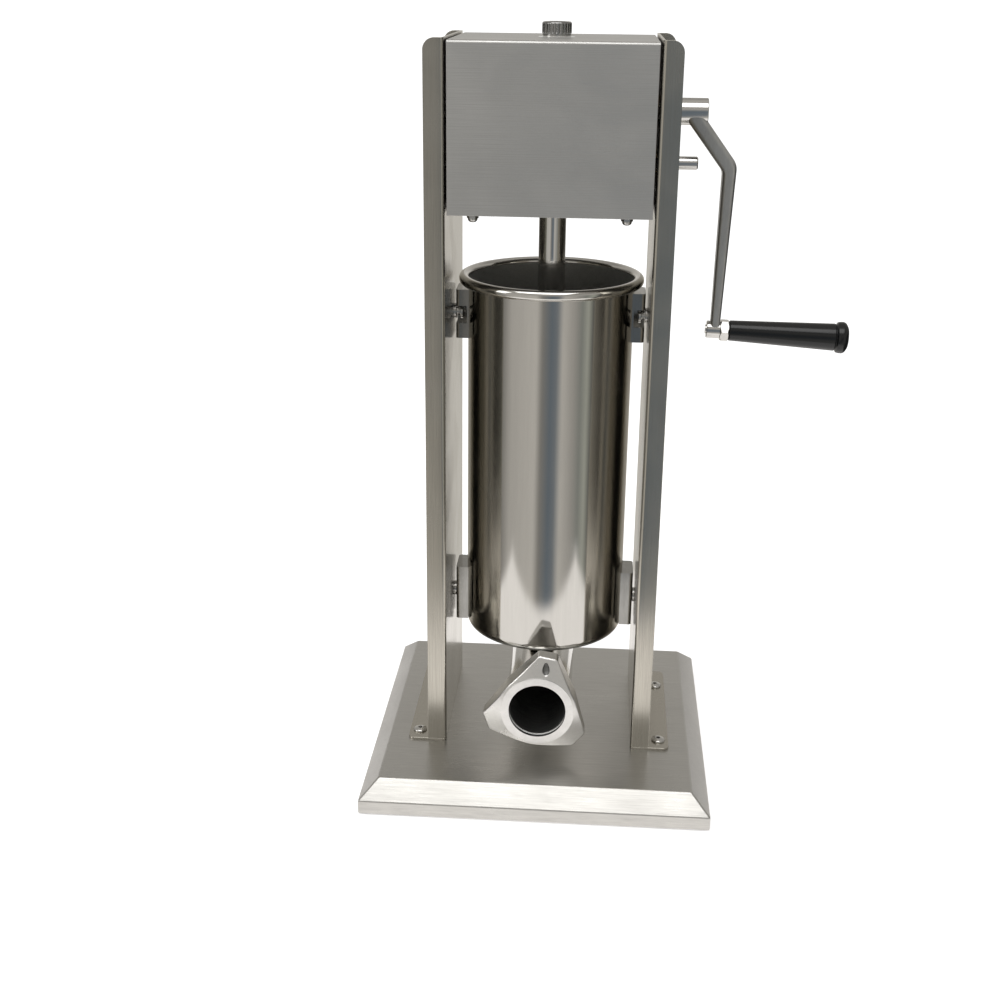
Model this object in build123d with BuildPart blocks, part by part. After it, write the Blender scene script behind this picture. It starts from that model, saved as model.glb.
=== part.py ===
"""Upright two-speed sausage stuffer: a steel barrel between two folded
channel uprights, a rack-and-pinion gearbox above it and a hand crank at its side.

Frame: millimetres, +Z up, -Y towards the outlet, +X towards the crank.
The origin is on the floor, at the middle of the base.
"""
import os
from math import acos, cos, pi, radians, sin, tan

from build123d import *

os.makedirs("parts", exist_ok=True)

# ---------------------------------------------------------------- driving dimensions
# base: a folded sheet pan with a bevelled edge, on four rubber feet
base_width = 300.0
base_depth = 300.0
base_height = 28.0
lip_height = 13.0
bevel_inset = 16.0
base_sheet = 2.0
lip_floor_gap = 1.5
rubber_foot_radius = 15.0
rubber_foot_inset = 38.0
rubber_foot_taper = 2.0

# uprights: folded channels, web towards the barrel, flanges and foot turned outwards
upright_sheet = 2.0
upright_depth = 150.0
upright_rise = 1.5
upright_centre_y = 8.0
flange_width = 16.5
flange_corner_radius = 9.0
bend_radius = 3.0
foot_width = 34.5
foot_corner_radius = 5.0
foot_screw_inset = 9.0
foot_screw_spacing = 105.0

# gearbox: a folded cover closed below by a floor plate that is screwed to the webs
gearbox_gap = 59.5
gearbox_height = 132.0
cover_sheet = 1.5
cover_side_gap = 1.7
cover_bend_radius = 2.5
cover_lip = 14.0
floor_sheet = 2.0
floor_clearance = 0.2
tab_nut_height = 4.0
tab_screw_tail = 5.0
tab_width = 40.0
tab_height = 18.0
tab_centre_y = 32.0
cover_screw_edge = 21.5
cover_screw_inset = 10.0

# barrel: a drawn cylinder with a rolled rim, on the axis that the piston rod shares
barrel_y = 16.0
barrel_bore = 140.0
barrel_wall = 1.0
barrel_floor = 1.2
barrel_bottom = 113.3
barrel_height = 325.7
barrel_corner_radius = 8.0
rim_bead_radius = 4.5

# outlet: a level pipe below the barrel floor, with a three-lobed ring nut
outlet_bore = 49.0
outlet_wall = 4.0
outlet_z = 80.5
outlet_front_reach = 117.0
outlet_back_reach = 31.0
outlet_end_wall = 2.0
nut_length = 22.0
nut_lip = 3.0
nut_ring_radius = 34.0
nut_face_radius = 32.0
lobe_reach = 48.0
lobe_width = 20.0
lobe_corner_radius = 4.0
lobe_slope = 9.0
lobe_first_angle = 80.0
seal_thickness = 2.0
seal_gap = 0.5
seal_inset = 0.5
nut_edge_radius = 1.5

# barrel brackets and the studs that carry them
bracket_reach = 9.5
bracket_web_gap = 2.0
bracket_depth = 30.0
bracket_sheet = 2.0
upper_stud_drop = 35.0
lower_stud_rise = 29.2
upper_bracket_height = 42.0
lower_bracket_height = 51.0
stud_radius = 4.0
stud_head_radius = 6.5
stud_head = 3.0
stud_slot_clearance = 0.2
stud_tail = 6.0
stud_head_gap = 0.5
stud_nut_height = 4.0
stud_nut_ratio = 1.8
upper_bracket_drop = 20.5
lower_bracket_drop = 24.0

# piston rod: a round bar with rack teeth milled along its back
rod_radius = 11.5
rod_neck_radius = 8.0
rack_module = 2.5
rack_flat = 9.0
rack_top_gullets = 5
cap_wall = 0.5
cap_top = 3.0
cap_height = 11.5
cap_gap = 0.3

# piston: two plates that clamp a ring gasket
piston_floor_gap = 2.5
piston_clearance = 2.0
piston_plate = 4.0
gasket_height = 10.0
gasket_width = 9.7
gasket_gap = 0.3
piston_hub_radius = 20.0
piston_hub_height = 10.0
piston_nut_height = 8.0
piston_nut_ratio = 1.7
piston_top_gap = 8.0
piston_hub_chamfer = 2.0
gasket_chamfer = 1.5
valve_offset = 38.0
valve_stem_radius = 3.0
valve_disc_radius = 9.0
valve_disc = 2.0
valve_lift = 2.0
valve_cap_radius = 6.0
valve_cap_height = 3.0
valve_stand = 0.1
valve_pocket_gap = 0.5

# gears and shafts
pressure_angle = 25.0
pinion_teeth = 12
pinion_width = 14.0
gear_module = 1.5
drive_teeth = 44
slow_teeth = 12
gear_x = 43.0
gear_width = 10.0
slow_gear_width = 14.0
tooth_thinning = 0.08
main_shaft_radius = 7.0
slow_shaft_radius = 6.5
slow_end_radius = 5.5
main_shaft_rise = 73.5
slow_shaft_overhang = 37.5
journal_overhang = 8.0
running_clearance = 0.05
bush_wall = 3.5
bush_reach = 7.5
bush_flange = 2.5
bush_flange_width = 3.0
guide_flange_width = 4.0
guide_reach = 8.0
gear_hole_ring = 20.0
gear_hole_radius = 6.0
spacer_wall = 2.5
key_size = 4.0

# crank: a cast arm on the main shaft, hanging straight down, with a turning grip
hub_radius = 11.0
hub_gap = 15.5
hub_length = 28.0
crank_throw = 184.0
arm_bend_reach = 70.0
arm_bend_drop = 46.0
arm_foot_reach = 64.8
arm_bend_thickness = 12.0
arm_foot_thickness = 8.0
arm_top_radius = 10.4
arm_foot_radius = 6.5
boss_radius = 7.5
boss_length = 12.0
grip_droop = 2.2
grip_nut_length = 7.0
grip_length = 103.0
grip_start_radius = 8.8
grip_end_radius = 11.8
grip_flange_radius = 13.7
grip_bolt_radius = 4.0
grip_head_radius = 8.0
grip_head = 3.0
grip_nut_radius = 9.8
grip_end_recess = 8.0
grip_flange_start = 11.5
grip_flange_width = 9.0
grip_flange_bulge = 5.0
grip_edge = 1.5
crank_screw_head = 7.0

# fasteners
screw_radius = 3.0
small_screw_radius = 2.5
hole_clearance = 0.2
screw_head_ratio = 2.0
small_head_ratio = 1.9
screw_nut_ratio = 1.9
small_nut_height = 3.0
dome_ratio = 1.6
dome_height = 3.2
cut_margin = 1.0
edge_break = 1.0

# ---------------------------------------------------------------- derived places
floor_gap = 0.3
barrel_inner = barrel_bore / 2
barrel_outer = barrel_inner + barrel_wall
barrel_top = barrel_bottom + barrel_height
bracket_x = barrel_outer + bracket_reach
web_half_span = bracket_x + bracket_web_gap
web_outer = web_half_span + upright_sheet
foot_x = web_half_span + foot_width
foot_top = base_height + upright_sheet
upright_front = upright_centre_y - upright_depth / 2
upright_back = upright_centre_y + upright_depth / 2
gearbox_bottom = barrel_top + gearbox_gap
gearbox_top = gearbox_bottom + gearbox_height
upright_top = gearbox_top + upright_rise
cover_half_width = web_half_span - cover_side_gap
cover_front_inside = upright_front + cover_sheet
cover_back_inside = upright_back - cover_sheet
floor_top = gearbox_bottom + floor_sheet
lip_top = floor_top + cover_sheet
cover_screw_x = web_half_span - cover_screw_edge
cover_screw_rows = (upright_front + cover_screw_inset, upright_back - cover_screw_inset)
upper_stud_z = barrel_top - upper_stud_drop
lower_stud_z = barrel_bottom + lower_stud_rise
outlet_inner = outlet_bore / 2
outlet_outer = outlet_inner + outlet_wall
nut_front_y = barrel_y - outlet_front_reach
nut_back_y = nut_front_y + nut_length
pipe_front_y = nut_front_y + nut_lip + seal_gap + seal_thickness
pipe_back_y = barrel_y + outlet_back_reach
rack_addendum = rack_module
rack_dedendum = 1.25 * rack_module
pinion_pitch_radius = rack_module * pinion_teeth / 2
shaft_y = barrel_y + rack_flat - rack_addendum + pinion_pitch_radius
centre_distance = gear_module * (drive_teeth + slow_teeth) / 2
main_shaft_z = gearbox_bottom + main_shaft_rise
slow_shaft_z = main_shaft_z - centre_distance
cap_radius = rod_radius + cap_wall
journal_end = web_half_span + journal_overhang
slow_shaft_end = web_half_span + slow_shaft_overhang
hub_start = web_half_span + hub_gap
hub_end = hub_start + hub_length
arm_bend_x = web_half_span + arm_bend_reach
arm_foot_x = web_half_span + arm_foot_reach
piston_radius = barrel_inner - piston_clearance
piston_bottom = barrel_bottom + barrel_floor + piston_floor_gap
gasket_bottom = piston_bottom + piston_plate
gasket_top = gasket_bottom + gasket_height
piston_top = gasket_top + piston_plate
piston_hub_top = piston_top + piston_hub_height
piston_travel = gearbox_bottom - piston_hub_top - piston_top_gap
grip_z = main_shaft_z - crank_throw

barrel_axis = Axis((0, barrel_y, 0), (0, 0, 1))
barrel_section = Plane(origin=(0, barrel_y, 0), x_dir=(1, 0, 0), z_dir=(0, -1, 0))
outlet_axis = Axis((0, 0, outlet_z), (0, 1, 0))
outlet_section = Plane(origin=(0, 0, outlet_z), x_dir=(1, 0, 0), z_dir=(0, 0, 1))
grip_plane = Plane(
    origin=(arm_foot_x, shaft_y, grip_z),
    x_dir=(0, 1, 0),
    z_dir=(cos(radians(grip_droop)), 0, -sin(radians(grip_droop))),
)


def write(piece, name):
    """Label a finished sub-part and write it as one STEP file."""
    piece.part.label = name
    export_step(piece.part, f"parts/{name}.step")


def across(x):
    """Plane across the shafts at x: local x is Y, local y is Z, normal is +X."""
    return Plane.YZ.offset(x)


def facing_front(y):
    """Plane facing the outlet at y: local x is X, local y is Z, normal is -Y."""
    return Plane(origin=(0, y, 0), x_dir=(1, 0, 0), z_dir=(0, -1, 0))


def gear_points(teeth, module, first_angle, steps=6):
    """Outline of a spur gear with involute flanks, one tooth centred on first_angle."""
    pitch = module * teeth / 2
    base = pitch * cos(radians(pressure_angle))
    tip = pitch + module
    root = pitch - 1.25 * module
    half_pitch_angle = (pi * module / 2 - 2 * tooth_thinning) / (2 * pitch)
    roll_at_pitch = tan(radians(pressure_angle)) - radians(pressure_angle)
    flank = []
    for step in range(steps):
        radius = max(root, base) + (tip - max(root, base)) * step / (steps - 1)
        roll = acos(min(1.0, base / radius))
        flank.append((radius, half_pitch_angle + roll_at_pitch - (tan(roll) - roll)))
    if root < base:
        flank.insert(0, (root, flank[0][1]))
    points = []
    for tooth in range(teeth):
        middle = radians(first_angle) + 2 * pi * tooth / teeth
        rising = [(radius, middle - half) for radius, half in flank]
        falling = [(radius, middle + half) for radius, half in reversed(flank)]
        points += [(radius * cos(a), radius * sin(a)) for radius, a in rising + falling]
    return points


# ---------------------------------------------------------------- base
foot_screw_places = [
    (side * (foot_x - foot_screw_inset), row * foot_screw_spacing / 2)
    for side in (-1, 1)
    for row in (-1, 1)
]

with BuildPart() as base_plate:
    with BuildSketch(Plane.XY.offset(lip_floor_gap)):
        Rectangle(base_width, base_depth)
    extrude(amount=lip_height - lip_floor_gap)
    with BuildSketch(Plane.XY.offset(lip_height)):
        Rectangle(base_width, base_depth)
    with BuildSketch(Plane.XY.offset(base_height)):
        Rectangle(base_width - 2 * bevel_inset, base_depth - 2 * bevel_inset)
    loft()
    offset(amount=-base_sheet, openings=base_plate.faces().sort_by(Axis.Z)[0])
    with BuildSketch(Plane.XY.offset(base_height)):
        with Locations(*foot_screw_places):
            Circle(screw_radius + hole_clearance)
    extrude(amount=-2 * base_sheet, mode=Mode.SUBTRACT)
write(base_plate, "base_plate")

with BuildPart() as rubber_feet:
    with GridLocations(base_width - 2 * rubber_foot_inset, base_depth - 2 * rubber_foot_inset, 2, 2):
        Cone(
            bottom_radius=rubber_foot_radius,
            top_radius=rubber_foot_radius - rubber_foot_taper,
            height=base_height - base_sheet,
            align=(Align.CENTER, Align.CENTER, Align.MIN),
        )
    chamfer(rubber_feet.edges().filter_by(GeomType.CIRCLE).group_by(Axis.Z)[0], edge_break)
write(rubber_feet, "rubber_feet")

# ---------------------------------------------------------------- uprights
stud_places = [(barrel_y, upper_stud_z), (barrel_y, lower_stud_z)]
tab_screw_places = [
    (tab_centre_y - tab_width / 4, gearbox_bottom + tab_height * 0.6),
    (tab_centre_y + tab_width / 4, gearbox_bottom + tab_height * 0.6),
]

with BuildPart() as upright_right:
    with BuildSketch(Plane.XY.offset(foot_top)) as channel:
        with Locations((web_half_span, upright_centre_y)):
            Rectangle(flange_width, upright_depth, align=(Align.MIN, Align.CENTER))
        fillet(channel.vertices().group_by(Axis.X)[0], bend_radius)
        with Locations((web_outer, upright_centre_y)):
            Rectangle(
                flange_width,
                upright_depth - 2 * upright_sheet,
                align=(Align.MIN, Align.CENTER),
                mode=Mode.SUBTRACT,
            )
    extrude(amount=upright_top - foot_top)
    fillet(
        upright_right.edges().filter_by(Axis.Y).group_by(Axis.Z)[-1].group_by(Axis.X)[-1],
        flange_corner_radius,
    )
    with BuildSketch(Plane.XY.offset(base_height)) as foot:
        with Locations((web_half_span, upright_centre_y)):
            Rectangle(foot_width, upright_depth, align=(Align.MIN, Align.CENTER))
        fillet(foot.vertices().group_by(Axis.X)[-1], foot_corner_radius)
        fillet(foot.vertices().group_by(Axis.X)[0], bend_radius)
        with Locations(*[place for place in foot_screw_places if place[0] > 0]):
            Circle(screw_radius + hole_clearance, mode=Mode.SUBTRACT)
    extrude(amount=upright_sheet)
    with BuildSketch(across(web_half_span - cut_margin)):
        with Locations((shaft_y, main_shaft_z)):
            Circle(main_shaft_radius + bush_wall)
        with Locations((shaft_y, slow_shaft_z)):
            Circle(slow_shaft_radius + bush_wall)
        with Locations(*stud_places):
            Circle(stud_radius)
        with Locations(*tab_screw_places):
            Circle(small_screw_radius + hole_clearance)
    extrude(amount=upright_sheet + 2 * cut_margin, mode=Mode.SUBTRACT)
write(upright_right, "upright_right")

with BuildPart() as upright_left:
    mirror(upright_right.part, about=Plane.YZ)
write(upright_left, "upright_left")

with BuildPart() as foot_screws:
    with BuildSketch(Plane.XY.offset(foot_top)):
        with Locations(*foot_screw_places):
            Circle(screw_head_ratio * screw_radius)
    extrude(amount=screw_radius)
    fillet(foot_screws.edges().group_by(Axis.Z)[-1], 0.8 * screw_radius)
    with BuildSketch(Plane.XY.offset(foot_top)):
        with Locations(*foot_screw_places):
            Circle(screw_radius)
    extrude(amount=-(upright_sheet + base_sheet + 2.5 * screw_radius))
write(foot_screws, "foot_screws")

with BuildPart() as foot_nuts:
    with BuildSketch(Plane.XY.offset(base_height - base_sheet)):
        with Locations(*foot_screw_places):
            RegularPolygon(screw_nut_ratio * screw_radius, 6)
        with Locations(*foot_screw_places):
            Circle(screw_radius, mode=Mode.SUBTRACT)
    extrude(amount=-1.7 * screw_radius)
write(foot_nuts, "foot_nuts")

# ---------------------------------------------------------------- gearbox
cover_screw_places = [(side * cover_screw_x, row) for side in (-1, 1) for row in cover_screw_rows]
guide_radius = rod_radius + bush_wall

with BuildPart() as gearbox_cover:
    with BuildSketch(across(-cover_half_width)) as shell:
        with Locations((upright_centre_y, gearbox_bottom)):
            Rectangle(upright_depth, gearbox_height, align=(Align.CENTER, Align.MIN))
        fillet(shell.vertices().group_by(Axis.Z)[-1], cover_bend_radius)
        with Locations((upright_centre_y, lip_top)):
            Rectangle(
                cover_back_inside - cover_front_inside,
                gearbox_top - cover_sheet - lip_top,
                align=(Align.CENTER, Align.MIN),
                mode=Mode.SUBTRACT,
            )
        with Locations((upright_centre_y, floor_top)):
            Rectangle(
                cover_back_inside - cover_front_inside - 2 * cover_lip,
                2 * cover_sheet,
                align=(Align.CENTER, Align.MIN),
                mode=Mode.SUBTRACT,
            )
        with Locations((upright_centre_y, gearbox_bottom)):
            Rectangle(
                cover_back_inside - cover_front_inside,
                floor_sheet,
                align=(Align.CENTER, Align.MIN),
                mode=Mode.SUBTRACT,
            )
    extrude(amount=2 * cover_half_width)
    with BuildSketch(Plane.XY.offset(gearbox_top)):
        with Locations((0, barrel_y)):
            Circle(guide_radius)
    extrude(amount=-2 * cover_sheet, mode=Mode.SUBTRACT)
    with BuildSketch(Plane.XY.offset(floor_top)):
        with Locations(*cover_screw_places):
            Circle(small_screw_radius + hole_clearance)
    extrude(amount=2 * cover_sheet, mode=Mode.SUBTRACT)
write(gearbox_cover, "gearbox_cover")

with BuildPart() as gearbox_floor:
    with BuildSketch(Plane.XY.offset(gearbox_bottom)):
        with Locations((0, upright_centre_y)):
            Rectangle(
                2 * cover_half_width,
                cover_back_inside - cover_front_inside - 2 * floor_clearance,
            )
        with Locations((0, tab_centre_y)):
            Rectangle(2 * web_half_span, tab_width)
        with Locations((0, barrel_y)):
            Circle(guide_radius, mode=Mode.SUBTRACT)
        with Locations(*cover_screw_places):
            Circle(small_screw_radius + hole_clearance, mode=Mode.SUBTRACT)
    extrude(amount=floor_sheet)
    with BuildSketch(Plane.XY.offset(gearbox_bottom)):
        with Locations((web_half_span, tab_centre_y)):
            Rectangle(floor_sheet, tab_width, align=(Align.MAX, Align.CENTER))
        with Locations((-web_half_span, tab_centre_y)):
            Rectangle(floor_sheet, tab_width, align=(Align.MIN, Align.CENTER))
    extrude(amount=tab_height)
    with BuildSketch(across(-web_half_span - cut_margin)):
        with Locations(*tab_screw_places):
            Circle(small_screw_radius + hole_clearance)
    extrude(amount=2 * (web_half_span + cut_margin), mode=Mode.SUBTRACT)
write(gearbox_floor, "gearbox_floor")

with BuildPart() as tab_screws:
    for side in (-1, 1):
        with BuildSketch(across(side * web_outer)):
            with Locations(*tab_screw_places):
                Circle(small_head_ratio * small_screw_radius)
        extrude(amount=side * small_screw_radius)
        with BuildSketch(across(side * web_outer)):
            with Locations(*tab_screw_places):
                Circle(small_screw_radius)
        extrude(amount=-side * (upright_sheet + floor_sheet + tab_screw_tail))
write(tab_screws, "tab_screws")

with BuildPart() as tab_nuts:
    for side in (-1, 1):
        with BuildSketch(across(side * (web_half_span - floor_sheet))):
            with Locations(*tab_screw_places):
                RegularPolygon(screw_nut_ratio * small_screw_radius, 6)
            with Locations(*tab_screw_places):
                Circle(small_screw_radius, mode=Mode.SUBTRACT)
        extrude(amount=-side * tab_nut_height)
write(tab_nuts, "tab_nuts")

with BuildPart() as cover_screws:
    with BuildSketch(Plane.XY.offset(lip_top)):
        with Locations(*cover_screw_places):
            Circle(small_head_ratio * small_screw_radius)
    extrude(amount=small_screw_radius)
    with BuildSketch(Plane.XY.offset(lip_top)):
        with Locations(*cover_screw_places):
            Circle(small_screw_radius)
    extrude(amount=-(cover_sheet + floor_sheet + small_nut_height))
write(cover_screws, "cover_screws")

with BuildPart() as dome_nuts:
    with BuildSketch(Plane.XY.offset(gearbox_bottom)):
        with Locations(*cover_screw_places):
            RegularPolygon(screw_nut_ratio * small_screw_radius, 6)
    extrude(amount=-small_nut_height)
    with BuildSketch(Plane.XY.offset(gearbox_bottom - small_nut_height)):
        with Locations(*cover_screw_places):
            Circle(dome_ratio * small_screw_radius)
    extrude(amount=-dome_height)
    fillet(dome_nuts.edges().group_by(Axis.Z)[0], 3)
    with BuildSketch(Plane.XY.offset(gearbox_bottom)):
        with Locations(*cover_screw_places):
            Circle(small_screw_radius)
    extrude(amount=-small_nut_height, mode=Mode.SUBTRACT)
write(dome_nuts, "dome_nuts")

# plastic guides that the rod slides in, flanged inside the box
with BuildPart() as rod_guide_top:
    with BuildSketch(Plane.XY.offset(gearbox_top)):
        with Locations((0, barrel_y)):
            Circle(guide_radius)
    extrude(amount=-cover_sheet)
    with BuildSketch(Plane.XY.offset(gearbox_top - cover_sheet)):
        with Locations((0, barrel_y)):
            Circle(guide_radius + guide_flange_width)
    extrude(amount=-bush_flange)
    with BuildSketch(Plane.XY.offset(gearbox_top)):
        with Locations((0, barrel_y)):
            Circle(rod_radius + running_clearance)
    extrude(amount=-(cover_sheet + bush_flange), mode=Mode.SUBTRACT)
write(rod_guide_top, "rod_guide_top")

with BuildPart() as rod_guide_bottom:
    with BuildSketch(Plane.XY.offset(gearbox_bottom)):
        with Locations((0, barrel_y)):
            Circle(guide_radius)
    extrude(amount=floor_sheet + guide_reach)
    with BuildSketch(Plane.XY.offset(floor_top)):
        with Locations((0, barrel_y)):
            Circle(guide_radius + guide_flange_width)
    extrude(amount=bush_flange)
    with BuildSketch(Plane.XY.offset(gearbox_bottom)):
        with Locations((0, barrel_y)):
            Circle(rod_radius + running_clearance)
    extrude(amount=floor_sheet + guide_reach, mode=Mode.SUBTRACT)
write(rod_guide_bottom, "rod_guide_bottom")


def shaft_bush(side, shaft_radius, shaft_z):
    """Flanged bush pressed through a web from the inside, bored to run on a shaft."""
    with BuildPart() as bush:
        with BuildSketch(across(side * web_half_span)):
            with Locations((shaft_y, shaft_z)):
                Circle(shaft_radius + bush_wall)
        extrude(amount=side * bush_reach)
        with BuildSketch(across(side * web_half_span)):
            with Locations((shaft_y, shaft_z)):
                Circle(shaft_radius + bush_wall + bush_flange_width)
        extrude(amount=-side * bush_flange)
        with BuildSketch(across(side * (web_half_span - bush_flange))):
            with Locations((shaft_y, shaft_z)):
                Circle(shaft_radius + running_clearance)
        extrude(amount=side * (bush_flange + bush_reach), mode=Mode.SUBTRACT)
    return bush


for side, side_name in ((-1, "left"), (1, "right")):
    write(shaft_bush(side, main_shaft_radius, main_shaft_z), f"main_bush_{side_name}")
    write(shaft_bush(side, slow_shaft_radius, slow_shaft_z), f"slow_bush_{side_name}")

# ---------------------------------------------------------------- studs and brackets
with BuildPart() as barrel_studs:
    for side in (-1, 1):
        with BuildSketch(across(side * (web_outer + stud_tail))):
            with Locations(*stud_places):
                Circle(stud_radius)
        extrude(amount=-side * (web_outer + stud_tail - bracket_x + bracket_sheet + stud_head))
        with BuildSketch(across(side * (bracket_x - bracket_sheet - stud_head_gap))):
            with Locations(*stud_places):
                Circle(stud_head_radius)
        extrude(amount=-side * stud_head)
        with BuildSketch(across(side * web_half_span)):
            with Locations(*stud_places):
                Circle(stud_head_radius)
        extrude(amount=-side * (web_half_span - bracket_x - stud_slot_clearance))
write(barrel_studs, "barrel_studs")

with BuildPart() as stud_nuts:
    for side in (-1, 1):
        with BuildSketch(across(side * web_outer)):
            with Locations(*stud_places):
                RegularPolygon(stud_nut_ratio * stud_radius, 6)
            with Locations(*stud_places):
                Circle(stud_radius, mode=Mode.SUBTRACT)
        extrude(amount=side * stud_nut_height)
write(stud_nuts, "stud_nuts")


def bracket(stud_z, bottom_z, height, opens_to_front):
    """Folded pocket on the barrel's right side, slotted for a stud."""
    slot_half = stud_radius + stud_slot_clearance
    with BuildPart() as pocket:
        with BuildSketch(Plane.XY.offset(bottom_z)) as outline:
            with Locations((0, barrel_y)):
                Rectangle(bracket_x, bracket_depth, align=(Align.MIN, Align.CENTER))
            fillet(outline.vertices().group_by(Axis.X)[-1], bend_radius)
            with Locations((0, barrel_y)):
                Circle(barrel_outer, mode=Mode.SUBTRACT)
        extrude(amount=height)
        with BuildSketch(Plane.XY.offset(bottom_z)):
            with Locations((0, barrel_y)):
                Rectangle(
                    bracket_x - bracket_sheet,
                    bracket_depth - 2 * bracket_sheet,
                    align=(Align.MIN, Align.CENTER),
                )
        extrude(amount=height - bracket_sheet, mode=Mode.SUBTRACT)
        with BuildSketch(across(bracket_x - bracket_sheet - cut_margin)):
            with Locations((barrel_y, stud_z)):
                Circle(slot_half)
            if opens_to_front:
                with Locations((barrel_y, stud_z)):
                    Rectangle(bracket_depth, 2 * slot_half, align=(Align.MAX, Align.CENTER))
            else:
                with Locations((barrel_y, stud_z)):
                    Rectangle(2 * slot_half, height, align=(Align.CENTER, Align.MAX))
        extrude(amount=bracket_sheet + 2 * cut_margin, mode=Mode.SUBTRACT)
        if opens_to_front:
            with BuildSketch(facing_front(barrel_y)):
                with Locations((bracket_x, stud_z)):
                    Rectangle(
                        bracket_reach,
                        2 * (stud_head_radius + cut_margin),
                        align=(Align.MAX, Align.CENTER),
                    )
            extrude(amount=bracket_depth, mode=Mode.SUBTRACT)
    return pocket


upper_bracket = bracket(upper_stud_z, upper_stud_z - upper_bracket_drop, upper_bracket_height, True)
lower_bracket = bracket(lower_stud_z, lower_stud_z - lower_bracket_drop, lower_bracket_height, False)
write(upper_bracket, "bracket_upper_right")
write(lower_bracket, "bracket_lower_right")
for built, name in ((upper_bracket, "bracket_upper_left"), (lower_bracket, "bracket_lower_left")):
    with BuildPart() as mirrored:
        mirror(built.part, about=Plane.YZ)
    write(mirrored, name)

# ---------------------------------------------------------------- barrel and outlet
with BuildPart() as barrel:
    with BuildSketch(barrel_section) as wall:
        with BuildLine():
            outline = FilletPolyline(
                (outlet_inner, barrel_bottom),
                (barrel_outer, barrel_bottom),
                (barrel_outer, barrel_top - rim_bead_radius),
                radius=barrel_corner_radius,
            )
            Line(outline @ 1, (barrel_inner, barrel_top - rim_bead_radius))
            inside = FilletPolyline(
                (barrel_inner, barrel_top - rim_bead_radius),
                (barrel_inner, barrel_bottom + barrel_floor),
                (outlet_inner, barrel_bottom + barrel_floor),
                radius=barrel_corner_radius - barrel_wall,
            )
            Line(inside @ 1, outline @ 0)
        make_face()
        with Locations((barrel_inner + rim_bead_radius, barrel_top - rim_bead_radius)):
            Circle(rim_bead_radius)
    revolve(axis=barrel_axis)
write(barrel, "barrel")

with BuildPart() as outlet_pipe:
    with BuildSketch(facing_front(pipe_back_y)):
        with Locations((0, outlet_z)):
            Circle(outlet_outer)
    extrude(amount=pipe_back_y - pipe_front_y)
    with BuildSketch(Plane.XY.offset(outlet_z)):
        with Locations((0, barrel_y)):
            Circle(outlet_outer)
    extrude(amount=barrel_bottom - outlet_z)
    with BuildSketch(facing_front(pipe_back_y - outlet_end_wall)):
        with Locations((0, outlet_z)):
            Circle(outlet_inner)
    extrude(amount=pipe_back_y - outlet_end_wall - pipe_front_y, mode=Mode.SUBTRACT)
    with BuildSketch(Plane.XY.offset(outlet_z)):
        with Locations((0, barrel_y)):
            Circle(outlet_inner)
    extrude(amount=barrel_bottom - outlet_z, mode=Mode.SUBTRACT)
write(outlet_pipe, "outlet_pipe")

with BuildPart() as outlet_seal:
    with BuildSketch(facing_front(pipe_front_y)):
        with Locations((0, outlet_z)):
            Circle(outlet_outer - seal_inset)
            Circle(outlet_inner + seal_inset, mode=Mode.SUBTRACT)
    extrude(amount=seal_thickness)
write(outlet_seal, "outlet_seal")

with BuildPart() as ring_nut:
    with BuildSketch(facing_front(nut_back_y)):
        with Locations((0, outlet_z)):
            Circle(nut_ring_radius)
        with Locations((0, outlet_z)):
            with PolarLocations(lobe_reach - lobe_corner_radius, 3, start_angle=lobe_first_angle):
                with Locations((0, lobe_width / 2 - lobe_corner_radius)):
                    Circle(lobe_corner_radius)
                with Locations((0, lobe_corner_radius - lobe_width / 2)):
                    Circle(lobe_corner_radius)
        make_hull()
    extrude(amount=nut_length)
    with BuildSketch(outlet_section):
        with BuildLine():
            Polyline(
                (0, nut_front_y),
                (nut_face_radius, nut_front_y),
                (lobe_reach + cut_margin, nut_front_y + lobe_slope),
                (lobe_reach + cut_margin, nut_back_y + cut_margin),
                (0, nut_back_y + cut_margin),
                close=True,
            )
        make_face()
    revolve(axis=outlet_axis, mode=Mode.INTERSECT)
    fillet(ring_nut.edges().group_by(Axis.Y)[-1], nut_edge_radius)
    with BuildSketch(facing_front(nut_back_y)):
        with Locations((0, outlet_z)):
            Circle(outlet_outer + 2 * running_clearance)
    extrude(amount=nut_length - nut_lip, mode=Mode.SUBTRACT)
    with BuildSketch(facing_front(nut_back_y)):
        with Locations((0, outlet_z)):
            Circle(outlet_inner)
    extrude(amount=nut_length, mode=Mode.SUBTRACT)
write(ring_nut, "ring_nut")

# ---------------------------------------------------------------- piston and rod
rack_pitch = pi * rack_module
rod_top = gearbox_top + cap_gap + cap_height - cap_top
rack_bottom_gullets = int((piston_travel + pinion_pitch_radius) / rack_pitch) + 3
gullet_half = rack_pitch / 4 + tooth_thinning
gullet_tip = gullet_half + rack_addendum * tan(radians(pressure_angle))
gullet_root = gullet_half - rack_dedendum * tan(radians(pressure_angle))
rack_tip_y = barrel_y + rack_flat
rack_root_y = rack_tip_y - rack_addendum - rack_dedendum
rack_low = main_shaft_z - (rack_bottom_gullets + 0.5) * rack_pitch
rack_high = main_shaft_z + (rack_top_gullets + 0.5) * rack_pitch

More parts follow.
